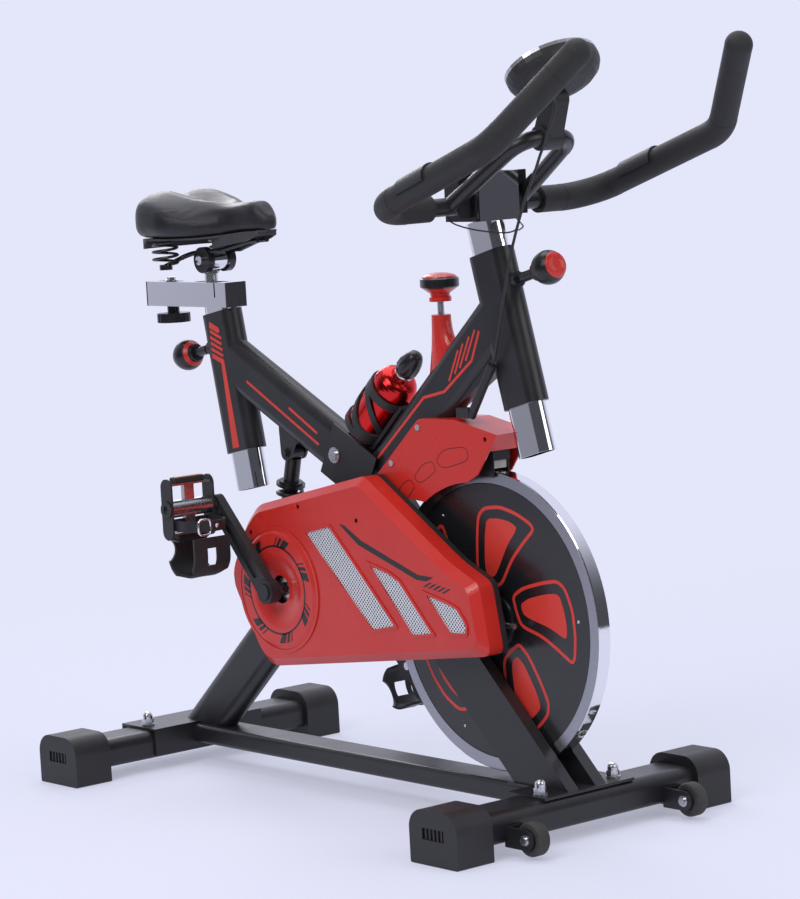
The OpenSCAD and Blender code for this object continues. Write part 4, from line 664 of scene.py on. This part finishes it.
PULSE_ROUTES = {
    "right": [(208, -62, 860.5), (216, -58, 851), (240, -50, 843), (272, -42, 838), (300, -38.5, 836.5),
              (316, -37, 838.5), (322, -36.3, 842)],
    "left": [(216, 55, 860.5), (224, 52, 852), (243, 43, 845), (268, 25, 841), (290, 0, 839), (308, -20, 839),
             (322, -35, 842)]}
LEAD_RADIUS = 0.0011
for label, route in PULSE_ROUTES.items():
    lead_path = smooth_path(np.array(route) * MM, 48)
    lead = swept("pulse_lead_" + label, lead_path, circle(LEAD_RADIUS, 8), "bars", cable_rubber, (0, 0, 1))

# Printed stripes and windows

STRIPE_WIDTH = 0.0042
SLASH_WIDTH = 0.0034
main_line = ribbon(on_main([(681, 20), (840, 15), (881, -8), (958, -15), (1000, 4)]), STRIPE_WIDTH)
main_bars = [bar(*on_main(ends), SLASH_WIDTH) for ends in (
    [(900, -4), (946, 14)], [(917, -5), (961, 14)], [(931, -6), (978, 12)], [(948, -7), (994, 11)])]
seat_bars = [on_axes(SEAT_TUBE_TOP, SEAT_UP, SEAT_BACK, line) for line in (
    [(-12, 13), (-21, 16), (-33, -4), (-31, -9), (-25, -7)],
    [(-24, 15), (-29, 16), (-44, -9), (-40, -11)], [(-33, 17), (-38, 18), (-53, -7), (-49, -9)],
    [(-42, 18), (-47, 19), (-62, -7), (-58, -9)], [(-51, 19), (-56, 20), (-71, -6), (-67, -8)],
    [(-60, 20), (-68, 20), (-79, 1), (-211, 10), (-211, -6), (-75, -7)])]
stay_lines = [bar(*on_axes(STAY_PIVOT, STAY_UP, STAY_OUT, ends), STRIPE_WIDTH) for ends in (
    [(236, -4), (46, -9)], [(130, 8), (56, 5)])]
for label, side in SIDES.items():
    printed("main_tube_stripe_" + label, [main_line] + main_bars, side * TUBE_SIDE, "frame", red_print)
    printed("seat_tube_stripe_" + label, seat_bars, side * TUBE_SIDE, "stay", red_print)
    printed("stay_stripe_" + label, stay_lines, side * TUBE_SIDE, "stay", red_print)

LOBE_EDGE = [(57, 43), (82, 39.4), (122, 31), (150, 26.8), (161, 21.5), (166, 10), (167, -2), (168, -13),
             (164, -16), (133, -12.4), (100, -7.4), (57, -2), (51, 20)]
LOBE_FILL = [(64, 27), (84, 27.5), (122, 23.2), (146, 20), (149, 11), (151, 1.4), (149, -5.4), (116, 0.3),
             (64, 11.5)]
LOBES = 5
LOBE_LINE = 0.005
for label, side in SIDES.items():
    plates = []
    for k in range(LOBES):
        turn = np.array([0, 360 // LOBES * k])
        plates += closed_ribbon(round_corners(round_axle(WHEEL_AXLE, np.array(LOBE_EDGE) + turn)), LOBE_LINE)
        plates.append(round_corners(round_axle(WHEEL_AXLE, np.array(LOBE_FILL) + turn)))
    printed("disc_windows_" + label, plates, side * DISC_FACE, "wheel", red_print)

SWEEP = [(150, 109), (163, 107), (198, 88), (322, 47), (356, 46), (340, 39), (318, 40), (192, 81)]
DASH = np.array([(346, 38), (352, 38), (338, 31), (332, 31)])
case_stripe = [on_case(SWEEP)]
case_stripe += [on_case(DASH + k * np.array([10, -1.5])) for k in range(5)]
printed("case_stripe", case_stripe, -CASE_FACE, "frame", black_print)

DISH_RING = 66
DISH_EDGE = 80
DISH_LINE = 0.0028
DISH_MARKS = 7
ring = closed_ribbon(round_axle(CRANK_AXLE, [(DISH_RING, a) for a in range(0, 360, 4)]), DISH_LINE)
for k in range(DISH_MARKS):
    for start, width in ((0, 10), (12.5, 4.5), (20.5, 1.8)):
        arc = np.linspace(0, width, 6) + 70 + start - 360 / DISH_MARKS * k
        mark = [(DISH_RING, a) for a in arc] + [(DISH_EDGE, a - 6) for a in arc[::-1]]
        ring.append(round_axle(CRANK_AXLE, mark))
printed("dish_print", ring, -DISH_FACE, "frame", black_print)

# Engraved row of plates on the brake cover, drawn as thin dark red lines of painted shade in the grooves, and
# screws of the flywheel's discs

PLATES = [[(241, 110), (252, 105), (251, 93.5), (231, 92.6), (226, 107.5)],
          [(240, 123.7), (247, 117), (243, 111.8), (227, 111.2), (225.5, 121.7)],
          [(240, 137), (248, 131), (243, 125.6), (228, 124.8), (225.5, 135)]]
GROOVE_LINE = 0.0013
GROOVE_THICK = 0.0001
SCREW = [(0, -0.3), (2.6, -0.3), (2.6, 0.4), (1.9, 1.3), (0.9, 1.7), (0, 1.8)]
SCREW_CIRCLE = 175
screws = round_axle(WHEEL_AXLE, [(SCREW_CIRCLE, a) for a in (4.6, 124.5, -115.3)])
for label, side in SIDES.items():
    lines = []
    for plate in PLATES:
        lines += closed_ribbon(round_corners(round_axle(WHEEL_AXLE, plate), 2), GROOVE_LINE)
    # The dark red lines are painted shade of the grooves, laid on the cover's face and not cut into it
    printed("cover_groove_shade_" + label, lines, side * COVER_FACE, "frame", groove_shade_red, thick=GROOVE_THICK)
    places = np.insert(screws, 1, side * DISC_FACE, axis=1)
    turned("disc_screws_" + label, SCREW, places, (0, side, 0), "wheel", zinc, count=20)

# Faces of the pop-pin balls, and the bottle's domed cap

FACE = [(0, 14.5), (18.6, 14.5), (18.7, 15), (18.2, 16.5), (16.5, 18.5), (14, 18.8), (13.5, 19.4), (12, 19.4),
        (11.5, 18.8), (5, 19.0), (0, 19.1)]
for label, place, axis in (("seat", SEAT_PIN, SEAT_PIN_AXIS), ("bar", BAR_PIN, BAR_PIN_AXIS)):
    ball = np.add(place, PIN_BALL * np.array(axis))
    turned(label + "_pin_face", FACE, ball, axis, label + "_pop_pin", red_plastic)
CAP = [(0, 131.2), (13.5, 131.2), (15.4, 132), (16, 134), (16, 137), (16.7, 138), (16.7, 144), (16.7, 150),
       (15.8, 154.5), (13.6, 162), (10.4, 168), (9, 169.5), (4, 172), (0, 172.6)]
CAP_FLUTES = (9, 0.7, 137.5, 152)
NECK = [(0, 124), (13.4, 124), (13.4, 126), (14.6, 127), (14.6, 129.6), (13, 130.6), (13, 131.4), (0, 131.4)]
bottle_axis = (math.cos(MAIN_RISE), 0, math.sin(MAIN_RISE))
cap = turned("bottle_dome", CAP, BOTTLE_FOOT, bottle_axis, "drink_cap", smooth_black, 72, CAP_FLUTES)
turned("bottle_neck", NECK, BOTTLE_FOOT, bottle_axis, "drink_cap", zinc)
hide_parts("bottle_cap")

# Reflectors and strap buckles of the pedals

HOUSING_PLACE = 0.0425
HOUSING_HALF = (0.0046, 0.0275, 0.0076)
LENS_PLACE = 0.0471
LENS_HALF = (0.0008, 0.0235, 0.0048)
STRAP_PLACE = 0.024
BUCKLE_RISE = 0.0642
BUCKLE_WIRE = 0.0017
BUCKLE = round_corners([(-0.0115, -0.011), (0.0115, -0.011), (0.0115, 0.011), (-0.0115, 0.011)])
RIVET = [(0, -0.5), (3.4, -0.5), (3.4, 0.5), (2.4, 1.5), (0, 1.9)]
for label, (x, y, z, turn) in PEDAL.items():
    c, k = math.cos(math.radians(turn)), math.sin(math.radians(turn))
    axes = np.array([[c, 0, -k], [0, 1, 0], [k, 0, c]])
    centre = np.array([x, y, z])
    body = "pedal_" + label[0]
    housing, lenses = [], []
    for end in (-1, 1):
        housing.append((centre + np.array([end * HOUSING_PLACE, 0, 0]) @ axes, HOUSING_HALF))
        lenses.append((centre + np.array([end * LENS_PLACE, 0, 0]) @ axes, LENS_HALF))
    blocks("reflector_housing_" + label, housing, axes, 0.0015, body, black_plastic)
    blocks("reflector_lens_" + label, lenses, axes, 0.0004, body, amber)
    side = SIDES[label]
    flat = BUCKLE + (STRAP_PLACE, side * 0.02)
    loop = centre + np.insert(flat, 2, BUCKLE_RISE, axis=1) @ axes
    swept("strap_buckle_" + label, loop, circle(BUCKLE_WIRE, 10), body, chrome, axes[2], closed=True)
    rivet = centre + np.array([STRAP_PLACE, -side * 0.004, 0.0632]) @ axes
    turned("strap_rivet_" + label, RIVET, rivet, axes[2], body, chrome, count=20)

# Saddle: a stuffed cover swelled by simulation from a slightly smaller form, with its moulded shell below

SADDLE_NOSE = -0.261
SADDLE_LENGTH = 0.255
SADDLE_WIDTH = 0.188
PAN_TOP = 0.835811
NOSE_HALF = 0.027
SWELL = 0.005
SWELL_FRAMES = 20
CELL = 0.0045
SHELL_GAP = 0.0002
SHELL_THICK = 0.003
SKIRT_END = 0.4535
LIP_START = 0.86


def ease(a, b, t):
    """0 before a, 1 after b and a smooth rise between, in either direction."""
    u = np.clip((t - a) / (b - a), 0, 1)
    return u * u * (3 - 2 * u)


def saddle_half_width(t):
    """Half the cover's width at share t of its length from the nose: narrow and round at the nose, wide and
    blunt behind."""
    wide = NOSE_HALF + (SADDLE_WIDTH / 2 - NOSE_HALF) * ease(0.22, 0.72, t)
    power = np.where(t < 0.5, 6, 14)
    return wide * np.sqrt(np.clip(1 - np.abs(2 * t - 1) ** power, 0, 1))


def saddle_edge(t):
    """Height of the cover's lower edge against the pan's top: below it behind, higher towards the nose."""
    return -0.005 + 0.008 * ease(0.55, 0.1, t) + 0.002 * ease(0.12, 0, t)


def saddle_form(shrink):
    """Closed grid of the cover. Each section is a superellipse, boxy below its widest line and round above.
    Behind, two cheeks rise beside a groove along the middle."""
    t = 0.5 - 0.5 * np.cos(np.linspace(0.06, np.pi - 0.06, 60))[:, None]
    a = np.linspace(0, 2 * np.pi, 128, endpoint=False)[None, :]
    c, k = np.cos(a), np.sin(a)
    crown = 0.046 + 0.018 * ease(0.5, 0.92, t) + 0.005 * ease(0.4, 0.15, t)
    crown = crown - 0.022 * ease(0.12, 0, t) - 0.005 * ease(0.95, 1, t) ** 2
    edge = saddle_edge(t)
    belt = edge + 0.36 * (crown - edge)
    half = np.maximum(saddle_half_width(t) - shrink, 0.004)
    above = k > 0
    full = ease(0.45, 0.8, t)
    bulge = np.abs(c) ** np.where(above, 0.62 - 0.14 * full, 0.3)
    tuck = 1 - 0.07 * np.where(above, 0, np.abs(k))
    y = np.sign(c) * bulge * half * tuck
    over = np.abs(k) ** (0.8 - 0.2 * full) * (crown - shrink - belt)
    under = -np.abs(k) ** 0.45 * (belt - edge)
    z = belt + np.where(above, over, under)
    share = y / half
    upper = ease(0.0, 0.5, k) * ease(0.3, 0.55, t)
    cheeks = 0.003 * np.exp(-(((np.abs(share) - 0.5) / 0.3) ** 2))
    groove = 0.008 * np.exp(-((share / 0.2) ** 2))
    z = z + upper * (cheeks - groove)
    x = SADDLE_NOSE - SADDLE_LENGTH * t + 0 * a
    return np.stack([x, y + 0 * t, PAN_TOP + z], -1)


def upright(path, low, high, thick):
    """Closed strip that stands on a path in plan, from one height to another at each place."""
    ahead = np.gradient(path, axis=0)
    ahead /= np.linalg.norm(ahead, axis=1, keepdims=True)
    out = np.stack([ahead[:, 1], -ahead[:, 0]], -1) * thick / 2
    a, b = path + out, path - out
    return np.stack([np.column_stack(pair) for pair in ((a, low), (a, high), (b, high), (b, low))], 1)


def shell_plan(t, share, limit=1.0):
    """Places x and half widths of the shell, a share of the cover's own, at shares t of its length."""
    return SADDLE_NOSE - SADDLE_LENGTH * t, np.minimum(share * saddle_half_width(t), limit)


def shell_top(t):
    """Height of the shell's top, just under the cover's lower edge."""
    return PAN_TOP + saddle_edge(t) - SHELL_GAP


def shell_end(t, share, limit=1.0):
    """Line in plan round one end of the shell, from its right side to its left, with its shares t."""
    x, w = shell_plan(t, share, limit)
    right = np.stack([x, -w], -1)
    return np.vstack([right, right[::-1] * (1, -1)]), np.concatenate([t, t[::-1]])


def make_saddle_shell():
    """Moulded shell under the cover: a thin plate along the cover's lower edge, a skirt round the nose that
    is deepest behind it, and a lip at the tail."""
    t = 0.5 - 0.5 * np.cos(np.linspace(0.46, np.pi - 0.3, 48))
    x, w = shell_plan(t, 0.8)
    corners = ((-1, SHELL_THICK), (1, SHELL_THICK), (1, 0), (-1, 0))
    plate = np.stack([np.stack([x, s * w, shell_top(t) - d], -1) for s, d in corners], 1)
    nose, t = shell_end(np.linspace(SKIRT_END, 0.08, 30), 0.86, 0.030)
    low = PAN_TOP + np.interp(t, [0, 0.06, 0.16, SKIRT_END], [0.004, -0.003, -0.0118, -0.0228])
    skirt = upright(nose, np.minimum(low, shell_top(t) - 0.001), shell_top(t), SHELL_THICK)
    tail, t = shell_end(np.linspace(LIP_START, 0.985, 24), 0.8)
    low = shell_top(t) - 0.001 - 0.015 * ease(LIP_START, 0.95, t)
    lip = upright(tail, low, shell_top(t), SHELL_THICK)
    points, faces = [], []
    for grid in (plate, skirt, lip):
        start = sum(len(p) for p in points)
        points.append(grid.reshape(-1, 3))
        part = outward(grid, rod_faces(*grid.shape[:2]))
        faces += [tuple(v + start for v in f) for f in part]
    shell = add_mesh("saddle_shell", np.vstack(points), faces, "saddle", shell_grey, smooth=False)
    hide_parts("saddle_base")


def coordinates(mesh):
    """Places of a mesh's points, one row each."""
    flat = np.empty(len(mesh.vertices) * 3, np.float32)
    mesh.vertices.foreach_get("co", flat)
    return flat.reshape(-1, 3)


def swell(cover):
    """Blows the cover up by inner pressure with its lower edge held. Each point is then kept within a short
    way of its start and above the edge."""
    scene = bpy.context.scene
    start = coordinates(cover.data)
    edge = PAN_TOP + saddle_edge((SADDLE_NOSE - start[:, 0]) / SADDLE_LENGTH)
    held = cover.vertex_groups.new(name="held")
    held.add(np.flatnonzero(start[:, 2] < edge + 0.006).tolist(), 1.0, "REPLACE")
    cloth = cover.modifiers.new("stuffing", "CLOTH")
    cloth.settings.use_pressure = True
    cloth.settings.uniform_pressure_force = 4.0
    cloth.settings.effector_weights.gravity = 0.0
    cloth.settings.vertex_group_mass = held.name
    cloth.settings.quality = 6
    cloth.settings.tension_stiffness = 25
    cloth.settings.compression_stiffness = 25
    for step in range(1, SWELL_FRAMES + 1):
        scene.frame_set(step)
    shaped = cover.evaluated_get(bpy.context.evaluated_depsgraph_get())
    move = coordinates(shaped.to_mesh()) - start
    shaped.to_mesh_clear()
    cover.modifiers.remove(cloth)
    scene.frame_set(1)
    far = np.linalg.norm(move, axis=1, keepdims=True)
    move *= np.minimum(1, SWELL / np.maximum(far, 1e-9))
    place = start + move
    place[:, 2] = np.maximum(place[:, 2], edge)
    cover.data.vertices.foreach_set("co", place.ravel())
    cover.data.update()


def make_saddle():
    """The cover: its form remeshed in small cells, swelled, and smoothed by one subdivision."""
    grid = saddle_form(SWELL * 0.6)
    faces = [f[::-1] for f in rod_faces(*grid.shape[:2])]
    cover = add_mesh("saddle_cover_vinyl", grid, faces, "saddle", vinyl)
    bpy.context.view_layer.objects.active = cover
    cover.select_set(True)
    remesh = cover.modifiers.new("cells", "REMESH")
    remesh.mode = "VOXEL"
    remesh.voxel_size = CELL
    remesh.use_smooth_shade = True
    bpy.ops.object.modifier_apply(modifier=remesh.name)
    swell(cover)
    smooth = cover.modifiers.new("round", "SUBSURF")
    smooth.levels = 1
    smooth.render_levels = 1
    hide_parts("saddle_cover")


make_saddle()
make_saddle_shell()

# Studio


def facing(right, up, back, place):
    """Matrix of an object at a place with its own axes along three directions."""
    return Matrix(np.column_stack([right, up, back, place]).tolist() + [[0, 0, 0, 1]])


def soft_light(name, place, target, size, power):
    """A square area lamp at a place, turned to a target."""
    lamp = bpy.data.lights.new(name, "AREA")
    lamp.energy = power
    lamp.size = size
    obj = bpy.data.objects.new(name, lamp)
    back = np.subtract(place, target, dtype=float)
    back /= np.linalg.norm(back)
    side = np.cross((0, 0, 1), back)
    side /= np.linalg.norm(side)
    obj.matrix_world = facing(side, np.cross(back, side), back, place)
    bpy.context.scene.collection.objects.link(obj)


PALE = (0.776, 0.791, 0.955)
FLOOR_STEP = 0.4
FLOOR_RINGS = 8
FLOOR_SPOKES = 64
FADE_FROM = 0.7
FADE_TO = 2.6


def make_floor():
    """Round flat floor: evenly spaced rings round the bike. It keeps the shadow near the bike and fades with
    the distance into the plain background, so it has no edge from any side."""
    mat = bpy.data.materials.new("floor")
    mat.use_nodes = True
    tree = mat.node_tree
    tree.nodes.clear()
    shade = add_node(tree, "BsdfDiffuse", {"Color": (*PALE, 1)})
    place = add_node(tree, "TexCoord").outputs["Object"]
    far = add_node(tree, "VectorMath", {0: place}, operation="LENGTH").outputs["Value"]
    level, share = (mapped(tree, far, FADE_FROM, FADE_TO, low, 1.0, "SMOOTHSTEP") for low in (1.06, 0.42))
    glow = add_node(tree, "Emission", {"Color": (*PALE, 1), "Strength": level})
    rays = add_node(tree, "LightPath").outputs
    mirrored = math_node(tree, "MAXIMUM", rays["Is Glossy Ray"], rays["Is Transmission Ray"])
    seen = math_node(tree, "MAXIMUM", rays["Is Camera Ray"], mirrored)
    seen = math_node(tree, "MULTIPLY", seen, share)
    mix = add_node(tree, "MixShader", {0: seen, 1: shade.outputs[0], 2: glow.outputs[0]})
    add_node(tree, "OutputMaterial", {"Surface": mix.outputs[0]})
    radius = FLOOR_STEP * np.arange(1, FLOOR_RINGS + 1)[:, None]
    angle = np.linspace(0, 2 * np.pi, FLOOR_SPOKES, endpoint=False)
    rings = np.stack([radius * np.cos(angle), radius * np.sin(angle), 0 * radius * angle], -1)
    points = np.vstack([(0, 0, 0), rings.reshape(-1, 3)])
    faces = [(0, 1 + k, 1 + (k + 1) % FLOOR_SPOKES) for k in range(FLOOR_SPOKES)]
    faces += [tuple(v + 1 for v in f[::-1]) for f in grid_faces(FLOOR_RINGS, FLOOR_SPOKES)]
    floor = add_mesh("floor", points, faces, None, mat, smooth=False)


def make_world():
    """Even pale light all round. Camera and transmission rays meet the plain background. Glossy rays meet it
    too, but for them it fades to a dim room on the side that the photograph was taken from."""
    world = bpy.data.worlds.new("studio")
    bpy.context.scene.world = world
    world.use_nodes = True
    tree = world.node_tree
    tree.nodes.clear()
    light = add_node(tree, "Background", {"Color": (0.93, 0.95, 1.0, 1), "Strength": 0.38})
    heading = add_node(tree, "TexCoord").outputs["Generated"]
    turn = math.radians(50.14)
    away = (-math.sin(turn), math.cos(turn), 0.25)
    toward = add_node(tree, "VectorMath", {0: heading, 1: away}, operation="DOT_PRODUCT").outputs["Value"]
    fade = mapped(tree, toward, -0.12, 0.55, 0.09, 1.0, "SMOOTHSTEP")
    rays = add_node(tree, "LightPath").outputs
    plain = math_node(tree, "MAXIMUM", rays["Is Camera Ray"], rays["Is Transmission Ray"])
    strength = math_node(tree, "MAXIMUM", plain, fade)
    shown = add_node(tree, "Background", {"Color": (*PALE, 1), "Strength": strength})
    seen = math_node(tree, "MAXIMUM", plain, rays["Is Glossy Ray"])
    mix = add_node(tree, "MixShader", {0: seen, 1: light.outputs[0], 2: shown.outputs[0]})
    add_node(tree, "OutputWorld", {"Surface": mix.outputs[0]})


FOCAL_PIXELS = 3343.06
PICTURE_HEIGHT = 899
SENSOR_HEIGHT = 36.0


def make_camera():
    """Camera at the photograph's place: azimuth, height and roll as three turns, and a focal length in pixels
    against the picture's height."""
    a, e, r = (math.radians(x) for x in (50.139, 6.197, -3.140))
    back = np.array([math.sin(a) * math.cos(e), -math.cos(a) * math.cos(e), math.sin(e)])
    right = np.cross(-back, (0, 0, 1))
    right /= np.linalg.norm(right)
    up = np.cross(right, -back)
    tilted_right = math.cos(r) * right + math.sin(r) * up
    tilted_up = -math.sin(r) * right + math.cos(r) * up
    lens_data = bpy.data.cameras.new("camera")
    lens_data.sensor_fit = "VERTICAL"
    lens_data.sensor_height = SENSOR_HEIGHT
    lens_data.lens = SENSOR_HEIGHT * FOCAL_PIXELS / PICTURE_HEIGHT
    lens_data.clip_end = 50
    obj = bpy.data.objects.new("camera", lens_data)
    obj.matrix_world = facing(tilted_right, tilted_up, back, (3.70997, -3.09310, 1.04350))
    bpy.context.scene.collection.objects.link(obj)
    bpy.context.scene.camera = obj


make_floor()
make_world()
make_camera()
soft_light("key", (1.2, -3.4, 3.4), (0, 0, 0.5), 2.2, 75)
soft_light("fill", (3.6, 0.6, 2.2), (0, 0, 0.5), 2.4, 36)
soft_light("top", (-0.6, 0.4, 3.6), (0, 0, 0.4), 2.6, 45)
soft_light("rim", (-3.2, 1.4, 2.4), (0, 0, 0.6), 1.6, 28)
bpy.context.scene.view_settings.view_transform = "Standard"
